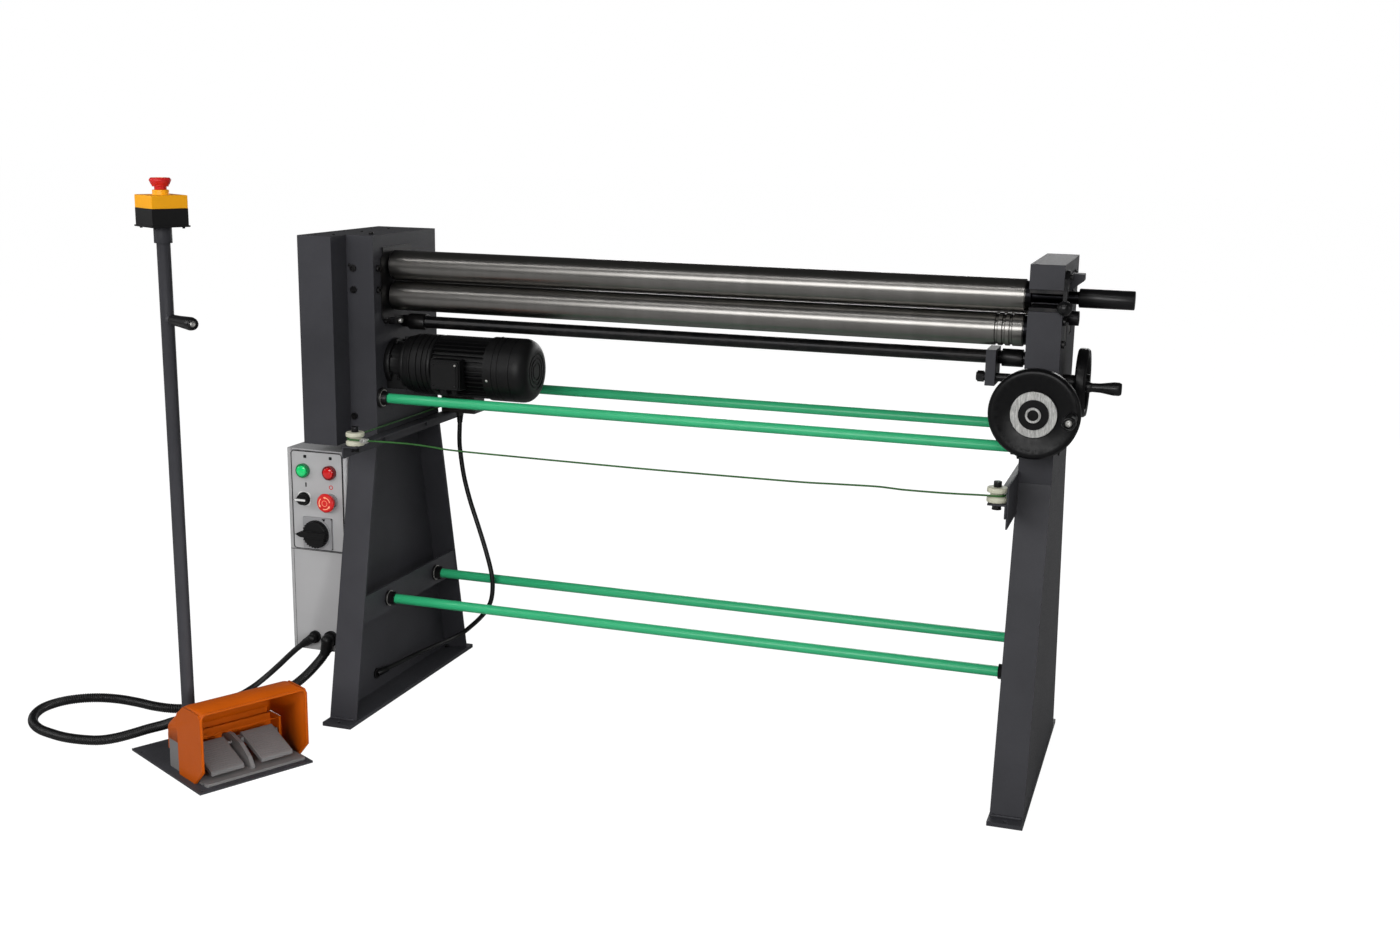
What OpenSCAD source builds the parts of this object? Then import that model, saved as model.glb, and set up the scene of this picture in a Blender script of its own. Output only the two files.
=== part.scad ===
// Motor-driven plate bending machine: three rolls between two heads on stands,
// with a control box, a safety rope and a foot pedal unit beside it.
// Millimetres. X runs along the rolls, Y to the back, Z up. The origin is on the
// floor, at the centre of the four anchor holes.

/* [Frame] */
// Clear width between the two heads
head_gap = 1290; // [900:10:1500]
// Thickness of a head and a stand along the rolls
head_t = 60; // [56:1:70]
// Front face of the heads, in front of the origin
head_front = 134; // [128:1:145]
// Rear face of the heads, behind the origin
head_rear = 130; // [110:1:145]
// Height of the seam between stand and head
seam_z = 598; // [560:1:640]
// Height of the heads above the seam
head_h = 389; // [385:1:400]
// Sheet thickness of the stands
sheet = 5; // [4:0.5:6]
// Length of a foot plate, front to back
foot_len = 556; // [520:2:600]
// Thickness of a foot plate
foot_t = 8; // [6:1:12]
// Width of the foot plate beyond each side of the stand
foot_lip = 2; // [1:0.5:4]
// Half depth of the stand where it meets the foot
stand_foot_y = 254; // [240:1:258]
// Radius of an anchor hole
anchor_r = 4.5; // [3:0.5:6]
// Distance of an anchor hole from the end of the foot
anchor_in = 11; // [9:1:13]
// Radius of a tie bar
bar_r = 10; // [8:0.5:12]
// Height of the lower tie bars
bar_low_z = 230; // [200:5:260]
// Height of the upper tie bars
bar_top_z = 658; // [640:1:670]

/* [Rolls] */
// Diameter of each roll
roll_d = 60; // [56:1:62]
// Gap between the top and lower rolls at rest
roll_nip = 2; // [1:0.5:4]
// Height of the top roll's axis
top_z = 924; // [918:1:930]
// Place of the top and lower rolls, front to back
roll_y = -54; // [-58:1:-50]
// Place of the rear roll, front to back
rear_y = 22; // [18:1:28]
// Height of the rear roll's axis at rest
rear_z = 872; // [866:1:876]
// End gap between a roll and a head
roll_end_gap = 5; // [4:0.5:8]
// Radius of the journals
journal_r = 15; // [12:0.5:16]
// Radius of the top roll's free journal
free_journal_r = 11.5; // [10:0.5:13]
// How far the lower roll drops
lower_drop = 5; // [3:0.5:5]
// How far the rear roll lifts
rear_lift = 50; // [30:5:55]
// Running clearance round shafts, on the radius
run_fit = 0.05; // [0.02:0.01:0.09]
// Clearance round sliding blocks
slide_fit = 0.35; // [0.3:0.05:0.5]
// Width of one wire groove in the lower roll
groove_w = 5; // [3:0.5:6]

/* [Hand wheels] */
// Diameter of the front hand wheel
front_wheel_d = 158; // [130:2:170]
// Diameter of the side hand wheel
side_wheel_d = 125; // [110:1:130]
// Height of the front hand wheel
front_wheel_z = 737; // [730:1:745]
// Distance from the rod to the cross shaft above it
shaft_pair = 40; // [40:1:44]
// Height of the cross shaft
shaft_z = 805; // [802:1:810]
// Radius of the cross shaft
shaft_r = 12.5; // [10:0.5:14]
// Length of a hand wheel grip
grip_len = 62; // [56:1:80]

/* [Drive] */
// Module of the drive gears
gear_m = 2.5; // [2.5:0.1:2.6]
// Height of the motor's axis
motor_z = 724; // [720:1:727]
// Radius of the fan cover
motor_r = 64.5; // [60:0.5:68]
// Distance of the motor's free end from the left head
motor_len = 328; // [300:1:340]
// Depth of the gear cover along the rolls
cover_t = 76; // [72:1:84]
// Sheet thickness of the covers
cover_sheet = 2.5; // [2:0.5:4]

/* [Control box] */
// Width of the control box
box_w = 140; // [134:1:150]
// Depth of the control box, front to back
box_d = 180; // [120:5:220]
// Height of the control box
box_h = 433; // [400:1:440]
// Height of the box's underside above the floor
box_z = 113; // [90:1:130]
// Radius of a push button lens
button_r = 11; // [9:0.5:12]
// Radius of the emergency stop head
stop_r = 20; // [17:0.5:22]
// Travel of a push button
button_travel = 4; // [2:0.5:5]

/* [Pedal unit] */
// Width of the pedal base plate
plate_w = 232; // [224:2:250]
// Depth of the pedal base plate
plate_d = 285; // [275:1:300]
// Thickness of the pedal base plate
plate_t = 4; // [3:0.5:6]
// Height of the guard above the plate
guard_h = 143; // [130:1:150]
// Width of the guard
guard_w = 216; // [210:1:218]
// Wall of the guard
guard_wall = 3; // [2:0.5:4]
// Height of the post's top
post_top = 987; // [900:1:1050]
// Radius of the post
post_r = 12.5; // [11:0.5:14]
// Side of the square box on the post
post_box_w = 70; // [64:1:76]

/* [Rope and cables] */
// Radius of the safety rope
rope_r = 1.75; // [1.5:0.05:2]
// Radius of the pedal hose over its ribs
hose_r = 9.5; // [8.5:0.1:10]
// Radius of the post cable
cable_r = 6; // [5:0.1:6.5]
// Radius of the switch cable
lead_r = 5; // [4:0.1:5.5]

/* [Hidden] */
$fn = 64;
eps = 0.01;

half_gap = head_gap / 2;
face_out = half_gap + head_t;
head_top = seam_z + head_h;
roll_r = roll_d / 2;
low_z = top_z - roll_d - roll_nip;
bar_low_y = 104;
bar_top_y = 114;
slate = "#3f3f44";
black = "#161617";
steel = "#a8a6a4";

// Drive gears
pinion_n = 28;
idler_n = 50;
top_n = 40;
roll_gear_n = 20;
roll_gear_m = (top_z - low_z) / roll_gear_n;
idler_a = gear_m * (pinion_n + idler_n) / 2;
idler_b = gear_m * (top_n + idler_n) / 2;
drive_c = top_z - motor_z;
idler_dz = (drive_c * drive_c + idler_a * idler_a - idler_b * idler_b) / (2 * drive_c);
idler_dy = sqrt(idler_a * idler_a - idler_dz * idler_dz);
idler_y = roll_y + idler_dy;
idler_z = motor_z + idler_dz;
gear_w = 18;
layer_a = face_out + 8;
layer_b = layer_a + gear_w + 8;

// Blocks and windows in the heads
block_w = 50;
block_h = 40;
win_w = block_w + 2 * slide_fit;
bush_r = 22;
bush_h = 40;
head_mid = half_gap + head_t / 2;

// Cross shaft and its rod
rod_y = -36;
shaft_y = -16;
rod_z = shaft_z - sqrt(shaft_pair * shaft_pair - (rod_y - shaft_y) * (rod_y - shaft_y));
rod_r = 8;
pair_n = 20;
pair_m = shaft_pair / pair_n;
bracket_x = 566;
bracket_t = 18;

// Hand wheels
wheel_x = head_mid;
wheel_y = -196;
wheel_t = 26;
grip_orbit = front_wheel_d / 2 - 14;
side_x = 728;
side_t = 22;
side_orbit = side_wheel_d / 2 - 12;
dial_r = 40;
hub_r = 26;
grip_bolt_r = 5;
pair_x = half_gap - roll_end_gap - 5;
pair_w = 9;

// Pulleys of the safety rope
pulley_x = 626;
pulley_y = -254;
pulley_r = 18;
pulley_h = 26;
groove_r = 12;
beam_top = 587;
pulley_z = beam_top + slide_fit + pulley_h / 2;
beam_leg = 25;
beam_t = 3;
beam_back = 222;
switch_y = 140;

// Control box
box_x = -(face_out + 3);
box_front = -155;
panel_w = 120;
panel_h = 209;
panel_mid = box_x - box_w / 2 + 1;
panel_top = box_z + box_h - 4;
col = 31;
row_a = panel_top - 41;
row_b = panel_top - 101;
row_c = panel_top - 172;
gland_z = 143;
gland_y = box_front - 16;
hose_gland_x = -755;
cable_gland_x = -793;
inlet_r = 12.5;

// Pedal unit, in its own frame
pedal_at = [-803, -486, 0];
pedal_turn = 62;
guard_mid = 7;
guard_front = -128;
guard_rear = 17;
pedal_w = 66;
pedal_gap = 36;
pin_y = -36;
pin_z = 40;
pin_r = 3;
post_x = -12;
post_y = 107;
handle_z = 842;
handle_len = 85;

// Free routes, in the row frame
hose_path = [[-755, -171, 143], [-758, -171, 125], [-768, -172, 106], [-784, -174, 86],
  [-804, -178, 64], [-828, -186, 42], [-856, -200, 24], [-888, -220, 13], [-922, -246, 10],
  [-956, -278, 10], [-990, -306, 10], [-1030, -325, 10], [-1075, -328, 10],
  [-1122, -322, 10], [-1170, -320, 10], [-1214, -328, 10], [-1250, -348, 10],
  [-1274, -378, 10], [-1282, -416, 10], [-1270, -456, 10], [-1244, -490, 10],
  [-1208, -514, 10], [-1168, -526, 10], [-1130, -532, 10], [-1092, -530, 10],
  [-1056, -525, 12], [-1022, -518, 19], [-988, -510, 30], [-956, -505, 42],
  [-922, -503, 54], [-892, -508, 67], [-866, -520.5, 76], [-844.5, -532, 76]];
cable_path = [[-793, -171, 143], [-806, -171, 134], [-824, -172, 121], [-844, -174, 103],
  [-870, -179, 77], [-893, -190, 54], [-910, -210, 37], [-920, -236, 29], [-925, -252, 27],
  [-928, -268, 23], [-934, -294, 13], [-942, -322, 8], [-950, -350, 8], [-956, -375, 14],
  [-957, -396, 24], [-948, -417, 35], [-931, -431.5, 43], [-909, -443, 44]];
lead_path = [[-610, 165, 587], [-610, 165, 575], [-608.5, 160, 552], [-605, 151, 528], [-598, 140, 504],
  [-581, 122, 453], [-559, 106, 403], [-534, 93, 352], [-513, 84, 304], [-497, 78, 258],
  [-492, 76, 225], [-497, 78, 190], [-512, 82, 162], [-532, 88, 139], [-558, 96, 115],
  [-577, 100, 99], [-594, 98, 88.5], [-607, 90, 81.5], [-624, 78, 74], [-638, 62, 68],
  [-655, 38, 61], [-668, 10, 56], [-676, -18, 53], [-684, -42, 50.5], [-695, -61, 45.5]];

// Gear outline with straight-sided teeth
module gear2d(n, m, phase = 0) {
  rt = m * (n / 2 + 0.95);
  rb = m * (n / 2 - 1.2);
  step = 360 / n;
  polygon([for (i = [0 : n - 1])
    for (p = [[rb, -0.34], [rt, -0.12], [rt, 0.12], [rb, 0.34]])
      p[0] * [cos(phase + step * (i + p[1])), sin(phase + step * (i + p[1]))]]);
}

// Cylinder along X from x0 to x1
module rod_x(x0, x1, r, y = 0, z = 0) {
  translate([x0, y, z]) rotate([0, 90, 0]) cylinder(r = r, h = x1 - x0);
}

// Cylinder along Y from y0 to y1
module rod_y(y0, y1, r, x = 0, z = 0) {
  translate([x, y1, z]) rotate([90, 0, 0]) cylinder(r = r, h = y1 - y0);
}

// Gear across X, from x0 to x0 + w
module gear_x(x0, w, n, m, y, z, phase) {
  translate([x0, y, z]) rotate([90, 0, 90]) linear_extrude(w) gear2d(n, m, phase);
}

// Box given by its two corners
module span(a, b) {
  translate(a) cube(b - a);
}

// Ring of n copies
module ring(n, r) {
  for (i = [0 : n - 1]) rotate(i * 360 / n) translate([r, 0, 0]) children();
}

module mirror_x() {
  mirror([1, 0, 0]) children();
}

module pedal_frame() {
  translate(pedal_at) rotate(pedal_turn) children();
}

function unit(v) = v / norm(v);
function tangents(p) = [for (i = [0 : len(p) - 1])
  unit(p[min(i + 1, len(p) - 1)] - p[max(i - 1, 0)])];
function side_of(t, ref) = unit(cross(t, cross(ref, t)));
// Side vectors carried along the route without twist
function sides(t, i, s) = i >= len(t) ? []
  : concat([side_of(t[i], s)], sides(t, i + 1, side_of(t[i], s)));
function start_side(t) = abs(t[2]) < 0.8 ? side_of(t, [0, 0, 1]) : side_of(t, [1, 0, 0]);
function ring_points(c, t, s, r, n) = [for (k = [0 : n - 1])
  c + r * (cos(360 * k / n) * s + sin(360 * k / n) * cross(t, s))];

// Closed tube through centres p with radii r
module tube(p, r, n) {
  t = tangents(p);
  s = sides(t, 0, start_side(t[0]));
  last = len(p) - 1;
  pts = [for (i = [0 : last]) each ring_points(p[i], t[i], s[i], r[i], n)];
  skin = [for (i = [0 : last - 1]) for (k = [0 : n - 1]) each [
    [i * n + k, i * n + (k + 1) % n, (i + 1) * n + (k + 1) % n],
    [i * n + k, (i + 1) * n + (k + 1) % n, (i + 1) * n + k]]];
  first_cap = [for (k = [1 : n - 2]) [0, k + 1, k]];
  end_cap = [for (k = [1 : n - 2]) [last * n, last * n + k, last * n + k + 1]];
  polyhedron([for (q = pts) q], [for (f = concat(skin, first_cap, end_cap)) [f[0], f[2], f[1]]]);
}

// Smooth curve through the points of a route, m steps to each stretch
function curve_at(a, b, c, d, u) = 0.5 * ((2 * b) + (c - a) * u
  + (2 * a - 5 * b + 4 * c - d) * u * u + (3 * b - a - 3 * c + d) * u * u * u);
function smooth(p, m) = concat([for (i = [0 : len(p) - 2]) for (j = [0 : m - 1])
  curve_at(p[max(i - 1, 0)], p[i], p[i + 1], p[min(i + 2, len(p) - 1)], j / m)],
  [p[len(p) - 1]]);

// Stand on the +X side: a folded sheet channel, open towards the rolls
module stand() {
  slant = sheet * 1.03;
  half_foot = foot_len / 2;
  difference() {
    union() {
      translate([half_gap, 0, 0]) rotate([90, 0, 90]) linear_extrude(head_t)
        polygon([[-head_front, seam_z], [-stand_foot_y, 0], [stand_foot_y, 0],
          [head_rear, seam_z]]);
      span([half_gap - foot_lip, -half_foot, 0], [face_out + foot_lip, half_foot, foot_t]);
    }
    translate([half_gap - 1, 0, 0]) rotate([90, 0, 90]) linear_extrude(head_t + 1 - sheet)
      polygon([[slant - head_front, seam_z - 2 * sheet], [slant - stand_foot_y, foot_t],
        [stand_foot_y - slant, foot_t], [head_rear - slant, seam_z - 2 * sheet]]);
    for (x = [half_gap + head_t / 2], y = [-1, 1])
      translate([x, y * (half_foot - anchor_in), -1]) cylinder(r = anchor_r, h = foot_t + 2);
  }
}

// Bar strip welded between the flanges of a stand
module stand_webs() {
  strip_h = 56;
  strip_x = half_gap + 1;
  intersection() {
    difference() {
      span([strip_x, -300, bar_low_z - strip_h / 2], [strip_x + 6, 300, bar_low_z + strip_h / 2]);
      for (y = [-bar_low_y, bar_low_y])
        rod_x(strip_x - 1, strip_x + 8, bar_r + slide_fit, y, bar_low_z);
    }
    translate([half_gap - 2, 0, 0]) rotate([90, 0, 90]) linear_extrude(head_t)
      polygon([[-head_front, seam_z], [-stand_foot_y, 0], [stand_foot_y, 0],
        [head_rear, seam_z]]);
  }
}

module right_stand() {
  color(slate) {
    stand();
    stand_webs();
  }
}

module left_stand() {
  color(slate) mirror_x() {
    stand();
    stand_webs();
  }
}

// Windows, bar sockets and shaft bores that both heads share, on the +X side
module head_cuts() {
  for (w = [[roll_y, low_z - lower_drop, low_z], [rear_y, rear_z, rear_z + rear_lift]])
    span([half_gap - 1, w[0] - win_w / 2, w[1] - block_h / 2 - 2],
      [face_out + 1, w[0] + win_w / 2, w[2] + block_h / 2 + slide_fit]);
  for (y = [-bar_top_y, bar_top_y]) rod_x(half_gap - 1, half_gap + 25, bar_r, y, bar_top_z);
  rod_x(half_gap - 1, half_gap + 20, shaft_r + run_fit, shaft_y, shaft_z);
}

module head_block() {
  translate([half_gap, 0, 0]) rotate([90, 0, 90]) linear_extrude(head_t)
    polygon([[-head_front, seam_z], [head_rear, seam_z], [head_rear, head_top],
      [-head_front, head_top]]);
}

// Left head: holds the swivel bush, the gear stub, the idler stud and the gearbox shaft
module left_head() {
  pocket_h = bush_h + 2 * slide_fit;
  stud_r = 10;
  color(slate) difference() {
    union() {
      mirror_x() head_block();
      rod_x(-face_out - 6, -face_out + 1, 20, roll_y, top_z);
      rod_x(-layer_b - gear_w - 3, -face_out + 1, stud_r, idler_y, idler_z);
      rod_x(-layer_b + 1, -face_out + 1, stud_r + 6, idler_y, idler_z);
    }
    mirror_x() head_cuts();
    translate([-head_mid, roll_y, top_z - pocket_h / 2]) {
      cylinder(r = bush_r + run_fit, h = pocket_h);
      translate([0, -bush_r - run_fit, 0])
        cube([head_t, 2 * (bush_r + run_fit), pocket_h]);
    }
    rod_x(-face_out - 7, -head_mid, 11 + run_fit, roll_y, top_z);
    rod_x(-face_out - 1, -half_gap + 1, 14, roll_y, motor_z);
  }
}

// Right head: slotted to the front, so that the top roll can swing out
module right_head() {
  slot_h = 39;
  seat_r = free_journal_r + run_fit;
  lug_x = 28;
  color(slate) difference() {
    union() {
      head_block();
      translate([face_out - 1, roll_y + 10, 0]) rotate([90, 0, 0]) linear_extrude(30)
        polygon([[0, 938], [6, 938], [lug_x + 1, 956], [lug_x + 1, 968], [0, 968]]);
    }
    head_cuts();
    span([half_gap - 1, -head_front - 1, top_z - slot_h / 2],
      [face_out + 1, roll_y, top_z + slot_h / 2]);
    rod_x(half_gap - 1, face_out + 1, seat_r, roll_y, top_z);
    rod_x(half_gap - 1, face_out + 1, rod_r + run_fit, rod_y, rod_z);
    rod_y(-head_front - 1, -head_front + 40, 9 + run_fit, wheel_x, front_wheel_z);
    rod_x(face_out - 12, face_out + 1, 5, -118, 966);
  }
}

module tie_bars(y, z, x_end) {
  color("#3fbf85") for (s = [-1, 1]) rod_x(-x_end, x_end, bar_r, s * y, z);
}

module lower_tie_bars() {
  tie_bars(bar_low_y, bar_low_z, half_gap + 24);
}

module upper_tie_bars() {
  tie_bars(bar_top_y, bar_top_z, half_gap + 25);
}

// Hexagon nut on a bar along X, drilled to the bar
module bar_nut(x, w, across, y, z) {
  difference() {
    translate([x, y, z]) rotate([0, 90, 0]) cylinder(r = across / sqrt(3), h = w, $fn = 6);
    rod_x(x - 1, x + w + 1, bar_r, y, z);
  }
}

// Round collar on a bar along X
module bar_collar(x, w, r, y, z) {
  difference() {
    rod_x(x, x + w, r, y, z);
    rod_x(x - 1, x + w + 1, bar_r, y, z);
  }
}

module tie_bar_nuts() {
  color("#26262a") for (m = [0, 1]) mirror([m, 0, 0]) for (s = [-1, 1]) {
    bar_collar(half_gap - 3, 4, 17, s * bar_low_y, bar_low_z);
    bar_nut(half_gap - 17, 14, 26, s * bar_low_y, bar_low_z);
    bar_nut(half_gap + 7, 14, 26, s * bar_low_y, bar_low_z);
    bar_collar(half_gap - 5, 5, 21, s * bar_top_y, bar_top_z);
    bar_collar(half_gap - 17, 12, 14, s * bar_top_y, bar_top_z);
  }
}

// Socket head screw whose head stands h above z = 0, pointing up
module socket_screw(r, h) {
  difference() {
    cylinder(r = r, h = h);
    translate([0, 0, h * 0.4]) cylinder(r = r * 0.55, h = h, $fn = 6);
  }
}

module frame_bolts() {
  front_bolts = [[-690, 921], [-690, 878], [-696, 620]];
  color("#1b1b1e") {
    for (b = front_bolts)
      translate([b[0], -head_front, b[1]]) rotate([90, 0, 0]) socket_screw(7, 4);
    for (z = [921, 878])
      translate([-half_gap, -118, z]) rotate([0, 90, 0]) socket_screw(7, 5);
    for (z = [888, 848])
      translate([face_out, -122, z]) rotate([0, 90, 0]) socket_screw(7, 6);
    translate([-half_gap - 22, -100, head_top]) socket_screw(5, 5);
    translate([-half_gap, -92, 812]) rotate([0, 90, 0]) socket_screw(6, 5);
    // Clamp screw of the top roll's slot
    translate([face_out, -93, 892]) rotate([0, 90, 0]) {
      cylinder(r = 8, h = 8);
      translate([0, 0, 8]) socket_screw(13, 17);
    }
    // Bolts that carry the rope pulleys
    for (s = [-1, 1]) translate([s * pulley_x, pulley_y, 0]) {
      translate([0, 0, beam_top - beam_t - 8]) cylinder(r = 8, h = 8, $fn = 6);
      translate([0, 0, beam_top]) cylinder(r = 4, h = pulley_h + 4);
      translate([0, 0, beam_top + pulley_h + 2 * slide_fit]) cylinder(r = 7, h = 10);
    }
    // Screw in the foot plate of the left stand
    translate([-690, 238, foot_t]) socket_screw(5, 4);
  }
}

// Sheet cover over the drive gears, open over the left head
module gear_cover() {
  x0 = -face_out - cover_t;
  x1 = -face_out;
  cover_front = -192;
  cover_low = seam_z - 31;
  w = cover_sheet;
  color(slate) difference() {
    span([x0, cover_front, cover_low], [x1, head_rear, head_top]);
    span([x0 + w, cover_front + w, cover_low + w], [x1 - w, head_rear - w, head_top - w]);
    span([x1 - w - 1, w - head_front, seam_z + 14], [x1 + 1, head_rear - 3 * w, head_top - 9]);
  }
}

// Worm gearbox on the inner face of the left head
module gearbox() {
  gx0 = -half_gap;
  gx1 = -half_gap + 46;
  color("#131314") difference() {
    union() {
      rod_x(gx0, gx0 + 12, 50, roll_y, motor_z);
      rod_x(gx0 + 12, gx1, 44, roll_y, motor_z);
      span([gx0, roll_y - 36, motor_z - 50], [gx1, roll_y + 36, motor_z]);
      rod_x(gx1 - 8, gx1, 56, roll_y, motor_z);
    }
    rod_x(gx0 - 1, gx0 + 30, 12 + run_fit, roll_y, motor_z);
  }
}

module motor_body() {
  bx0 = -half_gap + 46;
  bx1 = -half_gap + 218;
  bell = 62;
  fins = 36;
  body_r = 54;
  color("#131314") {
    rod_x(bx0, bx0 + 12, 58, roll_y, motor_z);
    rod_x(bx0 + 12, bx0 + bell, 62, roll_y, motor_z);
    rod_x(bx0 + bell, bx1, body_r, roll_y, motor_z);
    for (i = [0 : fins - 1])
      translate([bx0 + bell, roll_y, motor_z]) rotate([i * 360 / fins, 0, 0])
        translate([0, -1, 0]) cube([bx1 - bx0 - bell, 2, 62]);
  }
}

// Fan cover: a domed shell with rings of air holes in its end
module fan_cover() {
  fx0 = -half_gap + 218;
  l = -half_gap + motor_len - fx0;
  wall = 2;
  dome = 14;
  color("#111112") translate([fx0, roll_y, motor_z]) rotate([0, 90, 0]) difference() {
    rotate_extrude() polygon([[0, 0], [motor_r, 0], [motor_r, l - dome], [motor_r - 4, l - 5],
      [motor_r - 11, l], [0, l]]);
    rotate_extrude() polygon([[0, wall], [motor_r - wall, wall], [motor_r - wall, l - dome - 1],
      [motor_r - 4 - wall, l - 6], [motor_r - 12, l - wall], [0, l - wall]]);
    for (r = [18, 30, 42]) ring(r / 2 - 3, r)
      translate([0, 0, l - 2 * wall]) cylinder(r = 3.2, h = 4 * wall);
  }
}

module terminal_box() {
  color("#171718") difference() {
    span([-520, roll_y - 84, motor_z - 36], [-456, roll_y - 50, motor_z + 24]);
    rod_x(-527, -446, 62.5, roll_y, motor_z);
  }
}

// Angle beams that carry the safety rope, and their pulley plates
module rope_beams() {
  color("#2c2c2f") for (m = [0, 1]) mirror([m, 0, 0]) {
    outer = half_gap - slide_fit;
    difference() {
      union() {
        span([outer - beam_t, pulley_y - 20, beam_top - beam_leg], [outer, beam_back, beam_top]);
        span([outer - beam_leg, pulley_y + 24, beam_top - beam_t], [outer, beam_back, beam_top]);
        span([pulley_x - 14, pulley_y - 20, beam_top - beam_t], [outer, pulley_y + 26, beam_top]);
      }
      translate([pulley_x, pulley_y, beam_top - beam_t - 1]) cylinder(r = 4, h = beam_t + 2);
    }
    for (y = [-110, 70]) rod_x(outer - beam_t - 4, outer - beam_t, 7, y, beam_top - beam_leg / 2);
  }
  // Deep end plate of the right beam
  color("#2c2c2f") translate([half_gap - slide_fit, 0, 0]) rotate([90, 0, 90])
    linear_extrude(beam_t) polygon([[pulley_y - 16, beam_top - 44], [pulley_y - 16, beam_top + 32],
      [-head_front - 3, beam_top + 32], [-head_front - 14, beam_top - 44]]);
}

// Rope from the switch round both pulleys to the anchor on the right beam
module safety_rope() {
  rr = groove_r + rope_r + 0.3;
  z = pulley_z;
  arc = [for (a = [0 : 15 : 90]) [-pulley_x - rr * cos(a), pulley_y - rr * sin(a), z]];
  arc_r = [for (a = [90 : -15 : 0]) [pulley_x + rr * cos(a), pulley_y - rr * sin(a), z]];
  route = concat([[-pulley_x - rr, switch_y, z], [-pulley_x - rr, -60, z]], arc,
    [[-300, pulley_y - rr, z], [0, pulley_y - rr, z], [300, pulley_y - rr, z]], arc_r,
    [[pulley_x + rr, -60, z], [pulley_x + rr, 180, z]]);
  color("#2f5a3c") tube(route, [for (p = route) rope_r], 8);
  // Clip that grips the rope beside the left pulley
  color("#b8b8b4") rod_x(-pulley_x + 22, -pulley_x + 36, 4, pulley_y - rr, z);
  // Eye that ends the rope on the right beam
  color("#b8b8b4") {
    rod_y(180, 200, 5, pulley_x + rr, z);
    translate([pulley_x + rr, 190, beam_top]) cylinder(r = 3, h = z - beam_top);
  }
}

module rope_switch() {
  gland_h = 9;
  color("#2e2523") {
    span([-half_gap + 3, switch_y, beam_top], [-half_gap + 83, switch_y + 50, beam_top + 46]);
    translate([lead_path[0][0], lead_path[0][1], beam_top - gland_h]) difference() {
      cylinder(r = lead_r + 3, h = gland_h);
      translate([0, 0, -1]) cylinder(r = lead_r, h = gland_h + 1);
    }
  }
}

module switch_cable() {
  color(black) tube(lead_path, [for (p = lead_path) lead_r], 8);
}

// Electrical box beside the left stand: a sheet box, recessed for its panel
module control_box() {
  x0 = box_x - box_w;
  back = box_front + box_d;
  r = 6;
  pocket = 3;
  shell = 3;
  lip = 6;
  color("#a3a3a3") difference() {
    translate([x0, box_front, box_z]) linear_extrude(box_h) {
      translate([0, r]) square([box_w, box_d - r]);
      translate([r, 0]) square([box_w - 2 * r, box_d]);
      for (x = [r, box_w - r]) translate([x, r]) circle(r = r);
    }
    translate([panel_mid - panel_w / 2 - 1, box_front - 1, panel_top - panel_h - 1])
      cube([panel_w + 2, pocket + 1, panel_h + 2]);
    span([x0 + shell, box_front + 2 * shell, box_z + shell],
      [box_x - shell, back - shell, box_z + box_h - shell]);
    span([panel_mid - panel_w / 2 + lip, box_front, panel_top - panel_h + lip],
      [panel_mid + panel_w / 2 - lip, box_front + 3 * shell, panel_top - lip]);
    // Inlet for the mains lead, under the box
    translate([panel_mid, box_front + box_d / 2, box_z - 1]) cylinder(r = inlet_r, h = 2 * shell);
  }
  // Bars that hang the box on the stand
  color(slate) for (z = [box_z + 60, box_z + box_h - 60])
    span([box_x - eps, -40, z - 15], [-face_out, 0, z + 15]);
}

// Front panel with its cut-outs
module control_panel() {
  thick = 3;
  corner_r = 6;
  lens_hole = button_r + 0.3;
  color("#adadad") translate([panel_mid, box_front + thick, panel_top - panel_h / 2])
    rotate([90, 0, 0]) difference() {
      linear_extrude(thick) {
        square([panel_w - 2 * corner_r, panel_h], center = true);
        square([panel_w, panel_h - 2 * corner_r], center = true);
        for (x = [-1, 1], z = [-1, 1])
          translate([x * (panel_w / 2 - corner_r), z * (panel_h / 2 - corner_r)])
            circle(r = corner_r);
      }
      for (c = panel_holes(lens_hole))
        translate([c[0], c[1] - panel_top + panel_h / 2, -1]) cylinder(r = c[2], h = thick + 2);
    }
}

// Holes of the panel: offset across, height, radius
function panel_holes(lens) = [[-col, row_a, lens], [col, row_a, lens], [-col, row_b, 9],
  [col, row_b, 12], [0, row_c, 8]];

// Ring that stands out of the panel by h
module bezel(x, z, r, bore, h) {
  difference() {
    rod_y(box_front - h, box_front, r, panel_mid + x, z);
    rod_y(box_front - h - 1, box_front + 1, bore, panel_mid + x, z);
  }
}

module panel_fittings() {
  color("#2a2a2c") {
    bezel(-col, row_a, button_r + 3.5, button_r + 0.3, 7);
    bezel(col, row_a, button_r + 3.5, button_r + 0.3, 7);
    bezel(-col, row_b, 14, 6 + run_fit, 5);
    bezel(col, row_b, 15, 11 + run_fit, 3.5);
  }
  // Square plate of the main switch, with its bearing collar
  color("#8f8f90") difference() {
    span([panel_mid - 33, box_front - 6, row_c - 33], [panel_mid + 33, box_front, row_c + 33]);
    rod_y(box_front - 7, box_front + 1, 7 + run_fit, panel_mid, row_c);
  }
  // Key ring of the main switch
  color("#2a2a2c") difference() {
    rod_y(box_front - 8, box_front - 6, 31, panel_mid, row_c);
    rod_y(box_front - 9, box_front - 5, 7 + run_fit, panel_mid, row_c);
  }
}

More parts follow.
